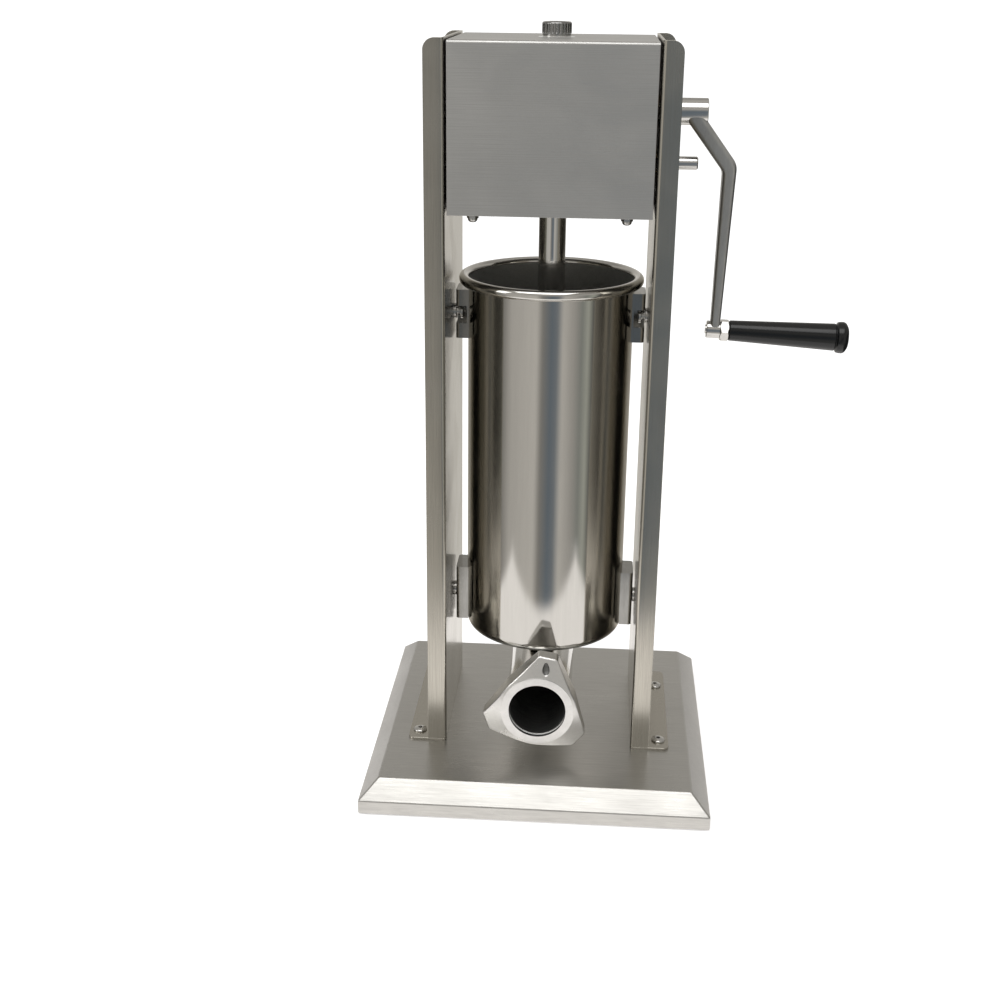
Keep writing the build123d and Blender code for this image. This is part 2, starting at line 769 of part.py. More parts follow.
with BuildPart() as piston_rod:
    with BuildSketch(Plane.XY.offset(gasket_top)):
        with Locations((0, barrel_y)):
            Circle(rod_radius)
    extrude(amount=rod_top - gasket_top)
    with BuildSketch(Plane.XY.offset(piston_bottom - piston_nut_height)):
        with Locations((0, barrel_y)):
            Circle(rod_neck_radius)
    extrude(amount=gasket_top - piston_bottom + piston_nut_height)
    with BuildSketch(across(-rod_radius)):
        with Locations((rack_tip_y, (rack_low + rack_high) / 2)):
            Rectangle(rod_radius, rack_high - rack_low, align=(Align.MIN, Align.CENTER))
        for gullet in range(-rack_bottom_gullets, rack_top_gullets + 1):
            gullet_z = main_shaft_z + gullet * rack_pitch
            with BuildLine():
                Polyline(
                    (rack_tip_y + 0.01, gullet_z - gullet_tip),
                    (rack_tip_y + 0.01, gullet_z + gullet_tip),
                    (rack_root_y, gullet_z + gullet_root),
                    (rack_root_y, gullet_z - gullet_root),
                    close=True,
                )
            make_face()
    extrude(amount=2 * rod_radius, mode=Mode.SUBTRACT)
write(piston_rod, "piston_rod")

with BuildPart() as rod_cap:
    with BuildSketch(Plane.XY.offset(gearbox_top + cap_gap)):
        with Locations((0, barrel_y)):
            Circle(cap_radius)
    extrude(amount=cap_height)
    chamfer(rod_cap.edges().group_by(Axis.Z)[-1], edge_break)
    with BuildSketch(Plane.XY.offset(gearbox_top + cap_gap)):
        with Locations((0, barrel_y)):
            Circle(rod_radius)
    extrude(amount=cap_height - cap_top, mode=Mode.SUBTRACT)
write(rod_cap, "rod_cap")

valve_place = (-valve_offset, barrel_y)
gasket_outer = barrel_inner - gasket_gap
gasket_inner = gasket_outer - gasket_width

with BuildPart() as piston_plate_lower:
    with BuildSketch(Plane.XY.offset(piston_bottom)):
        with Locations((0, barrel_y)):
            Circle(piston_radius)
            Circle(rod_neck_radius, mode=Mode.SUBTRACT)
        with Locations(valve_place):
            Circle(valve_stem_radius + running_clearance, mode=Mode.SUBTRACT)
    extrude(amount=piston_plate)
    with BuildSketch(Plane.XY.offset(piston_bottom)):
        with Locations(valve_place):
            Circle(valve_disc_radius + 2 * valve_pocket_gap)
    extrude(amount=valve_disc + valve_pocket_gap, mode=Mode.SUBTRACT)
    chamfer(piston_plate_lower.faces().sort_by(Axis.Z)[0].outer_wire().edges(), edge_break)
write(piston_plate_lower, "piston_plate_lower")

with BuildPart() as piston_plate_upper:
    with BuildSketch(Plane.XY.offset(gasket_bottom)):
        with Locations((0, barrel_y)):
            Circle(gasket_inner)
    extrude(amount=gasket_height)
    with BuildSketch(Plane.XY.offset(gasket_top)):
        with Locations((0, barrel_y)):
            Circle(piston_radius)
    extrude(amount=piston_plate)
    chamfer(piston_plate_upper.edges().group_by(Axis.Z)[-1], edge_break)
    with BuildSketch(Plane.XY.offset(piston_top)):
        with Locations((0, barrel_y)):
            Circle(piston_hub_radius)
    extrude(amount=piston_hub_height)
    chamfer(piston_plate_upper.edges().group_by(Axis.Z)[-1], piston_hub_chamfer)
    with BuildSketch(Plane.XY.offset(gasket_top)):
        with Locations((0, barrel_y)):
            Circle(rod_radius)
    extrude(amount=piston_plate + piston_hub_height, mode=Mode.SUBTRACT)
    with BuildSketch(Plane.XY.offset(gasket_bottom)):
        with Locations((0, barrel_y)):
            Circle(rod_neck_radius)
    extrude(amount=gasket_height, mode=Mode.SUBTRACT)
    with BuildSketch(Plane.XY.offset(gasket_bottom)):
        with Locations(valve_place):
            Circle(valve_stem_radius + running_clearance)
    extrude(amount=gasket_height + piston_plate, mode=Mode.SUBTRACT)
write(piston_plate_upper, "piston_plate_upper")

with BuildPart() as piston_gasket:
    with BuildSketch(Plane.XY.offset(gasket_bottom)):
        with Locations((0, barrel_y)):
            Circle(gasket_outer)
            Circle(gasket_inner, mode=Mode.SUBTRACT)
    extrude(amount=gasket_height)
    chamfer(piston_gasket.faces().sort_by(Axis.Z)[0].outer_wire().edges(), gasket_chamfer)
    chamfer(piston_gasket.faces().sort_by(Axis.Z)[-1].outer_wire().edges(), gasket_chamfer)
write(piston_gasket, "piston_gasket")

with BuildPart() as piston_nut:
    with BuildSketch(Plane.XY.offset(piston_bottom - piston_nut_height)):
        with Locations((0, barrel_y)):
            RegularPolygon(piston_nut_ratio * rod_neck_radius, 6)
            Circle(rod_neck_radius, mode=Mode.SUBTRACT)
    extrude(amount=piston_nut_height)
write(piston_nut, "piston_nut")

# air valve: a disc under the plates that drops to let air past and closes when pushed up
valve_disc_bottom = piston_bottom - valve_lift + floor_gap
with BuildPart() as air_valve:
    with BuildSketch(Plane.XY.offset(valve_disc_bottom)):
        with Locations(valve_place):
            Circle(valve_disc_radius)
    extrude(amount=valve_disc)
    with BuildSketch(Plane.XY.offset(valve_disc_bottom)):
        with Locations(valve_place):
            Circle(valve_stem_radius)
    extrude(amount=piston_top + valve_stand - valve_disc_bottom)
    with BuildSketch(Plane.XY.offset(piston_top + valve_stand)):
        with Locations(valve_place):
            Circle(valve_cap_radius)
    extrude(amount=valve_cap_height)
    fillet(air_valve.edges().group_by(Axis.Z)[-1], edge_break)
write(air_valve, "air_valve")

# ---------------------------------------------------------------- shafts and gears
spacer_end = web_half_span - bush_flange - floor_gap
gear_left = gear_x - gear_width / 2
gear_right = gear_x + gear_width / 2
pinion_key_span = (edge_break - pinion_width / 2, pinion_width / 2 - edge_break)
gear_key_span = (gear_left + edge_break, gear_right - edge_break)


with BuildPart() as main_keys:
    for start, end in (pinion_key_span, gear_key_span):
        with BuildSketch(across(start)):
            with Locations((shaft_y, main_shaft_z + main_shaft_radius)):
                Rectangle(key_size, key_size)
        extrude(amount=end - start)
write(main_keys, "main_keys")

with BuildPart() as main_shaft:
    with BuildSketch(across(-journal_end)):
        with Locations((shaft_y, main_shaft_z)):
            Circle(main_shaft_radius)
    extrude(amount=journal_end + hub_end - edge_break)
    chamfer(
        main_shaft.edges().group_by(Axis.X)[0] + main_shaft.edges().group_by(Axis.X)[-1],
        edge_break,
    )
    add(main_keys.part, mode=Mode.SUBTRACT)
write(main_shaft, "main_shaft")

with BuildPart() as rack_pinion:
    with BuildSketch(Plane(origin=(-pinion_width / 2, shaft_y, main_shaft_z), x_dir=(0, 1, 0), z_dir=(1, 0, 0))):
        with BuildLine():
            Polyline(*gear_points(pinion_teeth, rack_module, 180), close=True)
        make_face()
        Circle(main_shaft_radius, mode=Mode.SUBTRACT)
    extrude(amount=pinion_width)
    add(main_keys.part, mode=Mode.SUBTRACT)
write(rack_pinion, "rack_pinion")

with BuildPart() as drive_gear:
    with BuildSketch(Plane(origin=(gear_left, shaft_y, main_shaft_z), x_dir=(0, 1, 0), z_dir=(1, 0, 0))):
        with BuildLine():
            Polyline(*gear_points(drive_teeth, gear_module, -90), close=True)
        make_face()
        Circle(main_shaft_radius, mode=Mode.SUBTRACT)
        with PolarLocations(gear_hole_ring, 4, start_angle=45):
            Circle(gear_hole_radius, mode=Mode.SUBTRACT)
    extrude(amount=gear_width)
    add(main_keys.part, mode=Mode.SUBTRACT)
write(drive_gear, "drive_gear")

with BuildPart() as main_spacers:
    for start, end in (
        (-spacer_end, -pinion_width / 2),
        (pinion_width / 2, gear_left),
        (gear_right, spacer_end),
    ):
        with BuildSketch(across(start)):
            with Locations((shaft_y, main_shaft_z)):
                Circle(main_shaft_radius + spacer_wall)
                Circle(main_shaft_radius, mode=Mode.SUBTRACT)
        extrude(amount=end - start)
write(main_spacers, "main_spacers")

slow_gear_left = gear_x - slow_gear_width / 2
slow_gear_right = gear_x + slow_gear_width / 2
with BuildPart() as slow_shaft:
    with BuildSketch(across(-journal_end)):
        with Locations((shaft_y, slow_shaft_z)):
            Circle(slow_shaft_radius)
    extrude(amount=2 * journal_end)
    with BuildSketch(across(journal_end)):
        with Locations((shaft_y, slow_shaft_z)):
            Circle(slow_end_radius)
    extrude(amount=slow_shaft_end - journal_end)
    chamfer(
        slow_shaft.edges().group_by(Axis.X)[0] + slow_shaft.edges().group_by(Axis.X)[-1],
        edge_break,
    )
    with BuildSketch(Plane(origin=(slow_gear_left, shaft_y, slow_shaft_z), x_dir=(0, 1, 0), z_dir=(1, 0, 0))):
        with BuildLine():
            Polyline(*gear_points(slow_teeth, gear_module, 90 + 180 / slow_teeth), close=True)
        make_face()
    extrude(amount=slow_gear_width)
write(slow_shaft, "slow_shaft")

with BuildPart() as slow_spacers:
    for start, end in ((-spacer_end, slow_gear_left), (slow_gear_right, spacer_end)):
        with BuildSketch(across(start)):
            with Locations((shaft_y, slow_shaft_z)):
                Circle(slow_shaft_radius + spacer_wall)
                Circle(slow_shaft_radius, mode=Mode.SUBTRACT)
        extrude(amount=end - start)
write(slow_spacers, "slow_spacers")

# ---------------------------------------------------------------- crank
arm_bend_z = main_shaft_z - arm_bend_drop
crank_screw_plane = Plane(
    origin=((hub_start + hub_end) / 2, shaft_y, main_shaft_z),
    x_dir=(1, 0, 0),
    z_dir=(0, 1, 0),
)

with BuildPart() as crank_arm:
    with BuildSketch(facing_front(shaft_y)) as arm_side:
        with BuildLine():
            Polyline(
                (hub_start + 10, main_shaft_z - 6),
                (hub_end - 1, main_shaft_z - 6),
                (arm_bend_x, arm_bend_z + 4),
                (arm_foot_x - 1, grip_z),
                (arm_foot_x - 1 - arm_foot_thickness, grip_z),
                (arm_bend_x - arm_bend_thickness, arm_bend_z - 2),
                close=True,
            )
        make_face()
        fillet(arm_side.vertices().filter_by(lambda v: abs(v.Z - arm_bend_z) < 6), 12)
    extrude(amount=hub_radius + 2, both=True)
    with BuildSketch(across(hub_start)) as arm_front:
        with Locations((shaft_y, main_shaft_z)):
            Circle(arm_top_radius)
        with Locations((shaft_y, grip_z)):
            Circle(arm_foot_radius)
        make_hull()
    extrude(amount=arm_bend_x + 5 - hub_start, mode=Mode.INTERSECT)
    with BuildSketch(across(hub_start)):
        with Locations((shaft_y, main_shaft_z)):
            Circle(hub_radius)
    extrude(amount=hub_end - hub_start)
    with BuildSketch(across(hub_start)):
        with Locations((shaft_y, main_shaft_z)):
            Circle(main_shaft_radius)
    extrude(amount=hub_end - hub_start, mode=Mode.SUBTRACT)
    with BuildSketch(grip_plane.offset(-boss_length)):
        Circle(boss_radius)
    extrude(amount=boss_length)
    with BuildSketch(grip_plane.offset(-boss_length)):
        Circle(grip_bolt_radius)
    extrude(amount=boss_length, mode=Mode.SUBTRACT)
    with BuildSketch(crank_screw_plane):
        Circle(screw_radius)
    extrude(amount=2 * hub_radius, mode=Mode.SUBTRACT)
write(crank_arm, "crank_arm")

with BuildPart() as crank_screw:
    with BuildSketch(crank_screw_plane.offset(main_shaft_radius)):
        Circle(screw_radius)
    extrude(amount=hub_radius - main_shaft_radius + 2 * edge_break)
    with BuildSketch(crank_screw_plane.offset(hub_radius + edge_break)):
        Circle(screw_head_ratio * screw_radius)
    extrude(amount=crank_screw_head)
    chamfer(crank_screw.edges().group_by(Axis.Y)[-1], edge_break)
write(crank_screw, "crank_screw")

bolt_head_start = grip_nut_length + grip_length - grip_end_recess
with BuildPart() as grip_bolt:
    with BuildSketch(grip_plane.offset(-boss_length - edge_break)):
        Circle(grip_bolt_radius)
    extrude(amount=boss_length + edge_break + bolt_head_start + floor_gap)
    with BuildSketch(grip_plane.offset(bolt_head_start + floor_gap)):
        Circle(grip_head_radius)
    extrude(amount=grip_head)
write(grip_bolt, "grip_bolt")

with BuildPart() as grip_nut:
    with BuildSketch(grip_plane):
        RegularPolygon(grip_nut_radius, 6)
        Circle(grip_bolt_radius, mode=Mode.SUBTRACT)
    extrude(amount=grip_nut_length)
    chamfer(grip_nut.edges().filter_by(Axis.Z, reverse=True).group_by(Axis.X)[-1], 0.3)
write(grip_nut, "grip_nut")

grip_section = Plane(origin=grip_plane.origin, x_dir=grip_plane.z_dir, z_dir=(0, -1, 0))
grip_from = grip_nut_length + floor_gap
grip_to = grip_nut_length + grip_length
with BuildPart() as grip:
    with BuildSketch(grip_section):
        with BuildLine():
            Polyline(
                (grip_from, grip_bolt_radius + running_clearance),
                (grip_from, grip_start_radius - grip_edge),
                (grip_from + grip_edge, grip_start_radius),
            )
            Polyline(
                (grip_from + grip_edge, grip_start_radius),
                (grip_to - grip_flange_start, grip_end_radius),
                (grip_to - grip_flange_start + edge_break, grip_end_radius - 0.8),
                (grip_to - grip_flange_width, grip_flange_radius - 0.9),
            )
            ThreePointArc(
                (grip_to - grip_flange_width, grip_flange_radius - 0.9),
                (grip_to - grip_flange_bulge, grip_flange_radius),
                (grip_to, grip_head_radius + grip_edge),
            )
            Polyline(
                (grip_to, grip_head_radius + grip_edge),
                (grip_to, grip_head_radius + grip_edge / 3),
                (bolt_head_start, grip_head_radius + grip_edge / 3),
                (bolt_head_start, grip_bolt_radius + running_clearance),
                (grip_from, grip_bolt_radius + running_clearance),
            )
        make_face()
    revolve(axis=Axis(grip_plane.origin, grip_plane.z_dir))
write(grip, "grip")
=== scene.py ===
from math import cos, pi, radians, sin

import bmesh
import bpy
import numpy as np
from mathutils import Matrix, Vector


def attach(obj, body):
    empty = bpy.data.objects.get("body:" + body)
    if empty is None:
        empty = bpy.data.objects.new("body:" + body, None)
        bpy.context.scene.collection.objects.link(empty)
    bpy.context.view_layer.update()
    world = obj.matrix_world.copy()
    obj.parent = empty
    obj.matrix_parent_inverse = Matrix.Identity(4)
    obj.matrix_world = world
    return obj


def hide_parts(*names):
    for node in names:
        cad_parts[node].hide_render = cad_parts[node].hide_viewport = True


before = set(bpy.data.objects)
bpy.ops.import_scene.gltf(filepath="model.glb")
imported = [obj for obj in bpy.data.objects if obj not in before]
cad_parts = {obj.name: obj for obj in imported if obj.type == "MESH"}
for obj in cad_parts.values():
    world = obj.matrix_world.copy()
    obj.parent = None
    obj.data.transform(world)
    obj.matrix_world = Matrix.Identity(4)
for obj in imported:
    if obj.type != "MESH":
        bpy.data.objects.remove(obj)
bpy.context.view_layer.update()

# ------------------------------------------------------------------ bench and room
# The stuffer stands on a pale bench in a plain room. A soft light hangs above and
# in front, and the room behind the camera is what the polished steel shows.
scene = bpy.context.scene
scene.view_settings.view_transform = "Standard"

yaw, pitch, roll = radians(3.9903), radians(20.3601), radians(0.5977)
sight = Vector((-sin(yaw) * cos(pitch), cos(yaw) * cos(pitch), -sin(pitch)))
level = Vector((cos(yaw), sin(yaw), 0))
rise = level.cross(sight)
camera_right = level * cos(roll) + rise * sin(roll)
camera_up = rise * cos(roll) - level * sin(roll)
camera = bpy.data.objects.new("camera", bpy.data.cameras.new("camera"))
camera.data.sensor_width = 36
camera.data.lens = 50.8636
camera.matrix_world = (
    Matrix.Translation((0.041484, -1.181487, 0.675986))
    @ Matrix((camera_right, camera_up, -sight)).transposed().to_4x4()
)
scene.collection.objects.link(camera)
scene.camera = camera


def node(tree, kind, inputs=(), **settings):
    """One shader node with its settings, and its inputs set or linked."""
    made = tree.nodes.new(kind)
    for name, value in settings.items():
        setattr(made, name, value)
    for socket, value in dict(inputs).items():
        if isinstance(value, bpy.types.NodeSocket):
            tree.links.new(value, made.inputs[socket])
        else:
            made.inputs[socket].default_value = value
    return made


def ramp(tree, factor, stops):
    """Colour ramp through (place, colour) stops."""
    made = node(tree, "ShaderNodeValToRGB", {"Fac": factor})
    elements = made.color_ramp.elements
    while len(elements) < len(stops):
        elements.new(0.5)
    for element, (place, colour) in zip(elements, stops):
        element.position = place
        element.color = (*colour, 1)
    return made.outputs["Color"]


def warm(value):
    return (value, value * 0.965, value * 0.9)


# walls of the room by compass angle, from behind the stuffer round to behind again
room = bpy.data.node_groups.new("room", "ShaderNodeTree")
room.interface.new_socket("Vector", in_out="INPUT", socket_type="NodeSocketVector")
room.interface.new_socket("Wall", in_out="OUTPUT", socket_type="NodeSocketColor")
room_in = node(room, "NodeGroupInput")
room_axes = node(room, "ShaderNodeSeparateXYZ", {0: room_in.outputs["Vector"]})
room_front = node(
    room, "ShaderNodeMath", {0: room_axes.outputs["Y"], 1: -1.0}, operation="MULTIPLY"
)
room_angle = node(
    room, "ShaderNodeMath",
    {0: room_axes.outputs["X"], 1: room_front.outputs[0]}, operation="ARCTAN2",
)
room_turn = node(
    room, "ShaderNodeMath",
    {0: room_angle.outputs[0], 1: 1 / (2 * pi), 2: 0.5}, operation="MULTIPLY_ADD",
)
room_walls = (
    (-180, warm(0.68)), (-158, warm(0.60)), (-140, warm(0.06)), (-92, warm(0.04)),
    (-74, warm(0.07)), (-52, warm(0.50)), (-16, warm(0.60)), (-8, warm(0.26)),
    (4, (0.15, 0.18, 0.21)), (12, (0.20, 0.22, 0.24)), (20, warm(0.58)), (36, warm(0.40)),
    (46, (0.26, 0.27, 0.25)), (55, (0.42, 0.43, 0.38)), (64, warm(0.07)), (82, warm(0.03)),
    (140, warm(0.05)), (158, warm(0.60)), (180, warm(0.68)),
)
wall_colour = ramp(
    room, room_turn.outputs[0],
    [(angle / 360 + 0.5, colour) for angle, colour in room_walls],
)
node(room, "NodeGroupOutput", {"Wall": wall_colour})

world = bpy.data.worlds.new("room")
scene.world = world
world.use_nodes = True
air = world.node_tree
air.nodes.clear()
outlook = node(air, "ShaderNodeTexCoord")
walls = node(air, "ShaderNodeGroup", node_tree=room)
air.links.new(outlook.outputs["Generated"], walls.inputs["Vector"])
height = node(air, "ShaderNodeSeparateXYZ", {0: outlook.outputs["Generated"]})
ceiling = ramp(
    air, height.outputs["Z"],
    [
        (0.0, warm(0.3)), (0.3, warm(0.46)), (0.5, warm(0.46)), (0.66, warm(0.30)),
        (1.0, warm(0.5)),
    ],
)
wall_share = node(
    air, "ShaderNodeMapRange", {"Value": height.outputs["Z"], "From Min": 0.05, "From Max": 0.4}
)
# a colour Mix node takes its factor, first and second colour at sockets 0, 6 and 7
seen = node(
    air, "ShaderNodeMix", {0: wall_share.outputs[0], 6: walls.outputs["Wall"], 7: ceiling},
    data_type="RGBA",
)
rays = node(air, "ShaderNodeLightPath")
room_light = node(
    air, "ShaderNodeMix",
    {0: rays.outputs["Is Glossy Ray"], 6: (0.95, 0.95, 0.95, 1), 7: seen.outputs[2]},
    data_type="RGBA",
)
background = node(air, "ShaderNodeBackground", {"Color": room_light.outputs[2]})
backdrop = node(air, "ShaderNodeBackground", {"Color": (1, 1, 1, 1), "Strength": 1.0})
either = node(
    air, "ShaderNodeMixShader",
    {0: rays.outputs["Is Camera Ray"], 1: background.outputs[0], 2: backdrop.outputs[0]},
)
node(air, "ShaderNodeOutputWorld", {"Surface": either.outputs[0]})


def soft_light(name, place, aim, size, power):
    """Square area light looking from its place at its aim."""
    lamp = bpy.data.objects.new(name, bpy.data.lights.new(name, "AREA"))
    lamp.data.shape = "RECTANGLE"
    lamp.data.size, lamp.data.size_y = size
    lamp.data.energy = power
    look = (Vector(aim) - Vector(place)).to_track_quat("-Z", "Y")
    lamp.matrix_world = Matrix.Translation(place) @ look.to_matrix().to_4x4()
    scene.collection.objects.link(lamp)


soft_light("overhead_light", (-0.15, -0.75, 2.0), (0, 0, 0.2), (1.7, 1.1), 12)
soft_light("left_light", (-1.9, -0.9, 1.3), (0, 0, 0.3), (0.8, 1.2), 7)


def skin(name, *grids):
    """Mesh of quads between neighbouring points of (rows, columns, 3) grids in mm.
    Points that meet are merged, which closes seams and poles."""
    points, faces, start = [], [], 0
    for grid in grids:
        rows, columns = grid.shape[:2]
        index = np.arange(rows * columns).reshape(rows, columns) + start
        quads = (index[:-1, :-1], index[1:, :-1], index[1:, 1:], index[:-1, 1:])
        faces.append(np.stack(quads, -1).reshape(-1, 4))
        points.append(grid.reshape(-1, 3) * 0.001)
        start += rows * columns
    mesh = bpy.data.meshes.new(name)
    mesh.from_pydata(np.concatenate(points), [], np.concatenate(faces))
    shape = bmesh.new()
    shape.from_mesh(mesh)
    bmesh.ops.remove_doubles(shape, verts=shape.verts, dist=2e-6)
    bmesh.ops.dissolve_degenerate(shape, edges=shape.edges, dist=1e-6)
    bmesh.ops.recalc_face_normals(shape, faces=shape.faces)
    shape.to_mesh(mesh)
    shape.free()
    mesh.shade_smooth()
    mesh.set_sharp_from_angle(angle=radians(38))
    piece = bpy.data.objects.new(name, mesh)
    scene.collection.objects.link(piece)
    return piece


bench_half = 6e4
bench_ends = np.array([(-bench_half, 0.0), (bench_half, 0.0)])
bench_grid = np.zeros((2, 2, 3))
bench_grid[..., 0], bench_grid[..., 1] = bench_ends[:, 0], bench_ends[:, :1]
bench = skin("bench", bench_grid)
bench_top = bpy.data.materials.new("bench_top")
bench_top.use_nodes = True
top = bench_top.node_tree
top.nodes.clear()
spot = node(top, "ShaderNodeTexCoord")
bench_walls = node(top, "ShaderNodeGroup", {"Vector": spot.outputs["Object"]}, node_tree=room)
spread = node(
    top, "ShaderNodeVectorMath", {0: spot.outputs["Object"]}, operation="ABSOLUTE"
)
sides = node(top, "ShaderNodeSeparateXYZ", {0: spread.outputs[0]})
reach = node(
    top, "ShaderNodeMath", {0: sides.outputs["X"], 1: sides.outputs["Y"]}, operation="MAXIMUM"
)
near = node(
    top, "ShaderNodeMapRange",
    {"Value": reach.outputs[0], "From Min": 0.37, "From Max": 0.42},
    interpolation_type="SMOOTHSTEP",
)
shown = node(
    top, "ShaderNodeMix",
    {0: near.outputs[0], 6: (1.08, 1.05, 1.02, 1), 7: bench_walls.outputs["Wall"]},
    data_type="RGBA",
)
mirrored = node(top, "ShaderNodeEmission", {"Color": shown.outputs[2]})
matt = node(top, "ShaderNodeBsdfDiffuse", {"Color": (0.9, 0.9, 0.9, 1)})
glow = node(top, "ShaderNodeEmission", {"Color": (1, 1, 1, 1), "Strength": 0.32})
lit = node(top, "ShaderNodeAddShader", {0: matt.outputs[0], 1: glow.outputs[0]})
glance = node(top, "ShaderNodeLightPath")
bench_mix = node(
    top, "ShaderNodeMixShader",
    {0: glance.outputs["Is Glossy Ray"], 1: lit.outputs[0], 2: mirrored.outputs[0]},
)
node(top, "ShaderNodeOutputMaterial", {"Surface": bench_mix.outputs[0]})
bench.data.materials.append(bench_top)

# ------------------------------------------------------------------ base pan
# A square pan folded from 2 mm satin stainless sheet: flat top, bevelled flanks and
# a low upright lip all round. It stands on four rubber feet inside the lip.


def rounded(corners, radii, closed=False, steps=6):
    """Polyline whose corners are arcs: each arc is the corner's centre plus the first
    contact vector swung evenly round to the last one."""
    corners = np.array(corners, float)
    count = len(corners)
    path = []
    for i, (corner, radius) in enumerate(zip(corners, np.broadcast_to(radii, count))):
        if radius == 0 or (not closed and i in (0, count - 1)):
            path.append(corner[None])
            continue
        back, on = corners[i - 1] - corner, corners[(i + 1) % count] - corner
        back, on = back / np.hypot(*back), on / np.hypot(*on)
        half = np.arccos(np.clip(back @ on, -1, 1)) / 2
        centre = corner + (back + on) / np.hypot(*(back + on)) * radius / np.sin(half)
        first = corner + back * radius / np.tan(half) - centre
        last = corner + on * radius / np.tan(half) - centre
        turn, share = pi - 2 * half, np.linspace(0, 1, steps + 1)[:, None]
        swing = np.sin((1 - share) * turn) * first + np.sin(share * turn) * last
        path.append(centre + swing / np.sin(turn))
    path = np.concatenate(path)
    return np.concatenate((path, path[:1])) if closed else path


def crisp(piece, edge=0.0, segments=2):
    """Small rounding on the sheared edges, and flat faces kept flat in shading."""
    if edge:
        bevel = piece.modifiers.new("edge", "BEVEL")
        bevel.width = edge * 0.001
        bevel.segments = segments
        bevel.limit_method = "ANGLE"
        bevel.angle_limit = radians(38)
        bevel.harden_normals = False
    even = piece.modifiers.new("even", "WEIGHTED_NORMAL")
    even.keep_sharp = True
    return piece


brushing = bpy.data.node_groups.new("brushing", "ShaderNodeTree")
brushing.interface.new_socket("Vector", in_out="INPUT", socket_type="NodeSocketVector")
brushing.interface.new_socket("Streak", in_out="OUTPUT", socket_type="NodeSocketFloat")
brushing.interface.new_socket("Height", in_out="OUTPUT", socket_type="NodeSocketFloat")
brush_in = node(brushing, "NodeGroupInput")
coarse = node(
    brushing, "ShaderNodeTexNoise",
    {"Vector": brush_in.outputs["Vector"], "Scale": 1.0, "Detail": 2.0},
)
fine = node(
    brushing, "ShaderNodeTexNoise",
    {"Vector": brush_in.outputs["Vector"], "Scale": 3.7, "Detail": 3.0, "Roughness": 0.6},
)
both = node(
    brushing, "ShaderNodeMath",
    {0: coarse.outputs["Fac"], 1: fine.outputs["Fac"]}, operation="ADD",
)
streaks = node(
    brushing, "ShaderNodeMapRange", {"Value": both.outputs[0], "From Min": 0.7, "From Max": 1.3}
)
node(
    brushing, "NodeGroupOutput",
    {"Streak": streaks.outputs[0], "Height": fine.outputs["Fac"]},
)

handling = bpy.data.node_groups.new("handling", "ShaderNodeTree")
handling.interface.new_socket("Vector", in_out="INPUT", socket_type="NodeSocketVector")
handling.interface.new_socket("Smear", in_out="OUTPUT", socket_type="NodeSocketFloat")
hand_in = node(handling, "NodeGroupInput")
cloud = node(
    handling, "ShaderNodeTexNoise",
    {"Vector": hand_in.outputs["Vector"], "Scale": 16.0, "Detail": 4.0, "Distortion": 0.6},
)
smear = node(
    handling, "ShaderNodeMapRange",
    {"Value": cloud.outputs["Fac"], "From Min": 0.42, "From Max": 0.7},
)
node(handling, "NodeGroupOutput", {"Smear": smear.outputs[0]})


def metal(name, colour, roughness, grain, contrast=0.1, depth=0.0, smeared=0.06, blasted=0.0):
    """Bare metal. Grain is how many streaks there are to the metre along X, Y and Z,
    contrast how far they lighten and darken, depth how deep they are in microns."""
    made = bpy.data.materials.new(name)
    made.use_nodes = True
    tree = made.node_tree
    shader = tree.nodes["Principled BSDF"]
    shader.inputs["Metallic"].default_value = 1.0
    place = node(tree, "ShaderNodeTexCoord").outputs["Object"]
    stretched = node(tree, "ShaderNodeMapping", {"Vector": place, "Scale": grain})
    brushed = node(
        tree, "ShaderNodeGroup", {"Vector": stretched.outputs[0]}, node_tree=brushing
    )
    handled = node(tree, "ShaderNodeGroup", {"Vector": place}, node_tree=handling)
    dark = tuple(c * (1 - contrast) for c in colour)
    light = tuple(min(1, c * (1 + contrast)) for c in colour)
    tint = ramp(tree, brushed.outputs["Streak"], [(0, dark), (1, light)])
    tree.links.new(tint, shader.inputs["Base Color"])
    streak_rough = node(
        tree, "ShaderNodeMath",
        {0: brushed.outputs["Streak"], 1: -0.3 * roughness, 2: 1.15 * roughness},
        operation="MULTIPLY_ADD",
    )
    rough = node(
        tree, "ShaderNodeMath",
        {0: handled.outputs["Smear"], 1: smeared, 2: streak_rough.outputs[0]},
        operation="MULTIPLY_ADD",
    )
    tree.links.new(rough.outputs[0], shader.inputs["Roughness"])
    relief = brushed.outputs["Height"]
    if blasted:
        pits = node(
            tree, "ShaderNodeTexNoise",
            {"Vector": place, "Scale": blasted, "Detail": 3.0, "Roughness": 0.65},
        )
        relief = pits.outputs["Fac"]
    if depth:
        bump = node(
            tree, "ShaderNodeBump", {"Height": relief, "Distance": depth * 1e-6, "Strength": 1.0}
        )
        tree.links.new(bump.outputs[0], shader.inputs["Normal"])
    return made


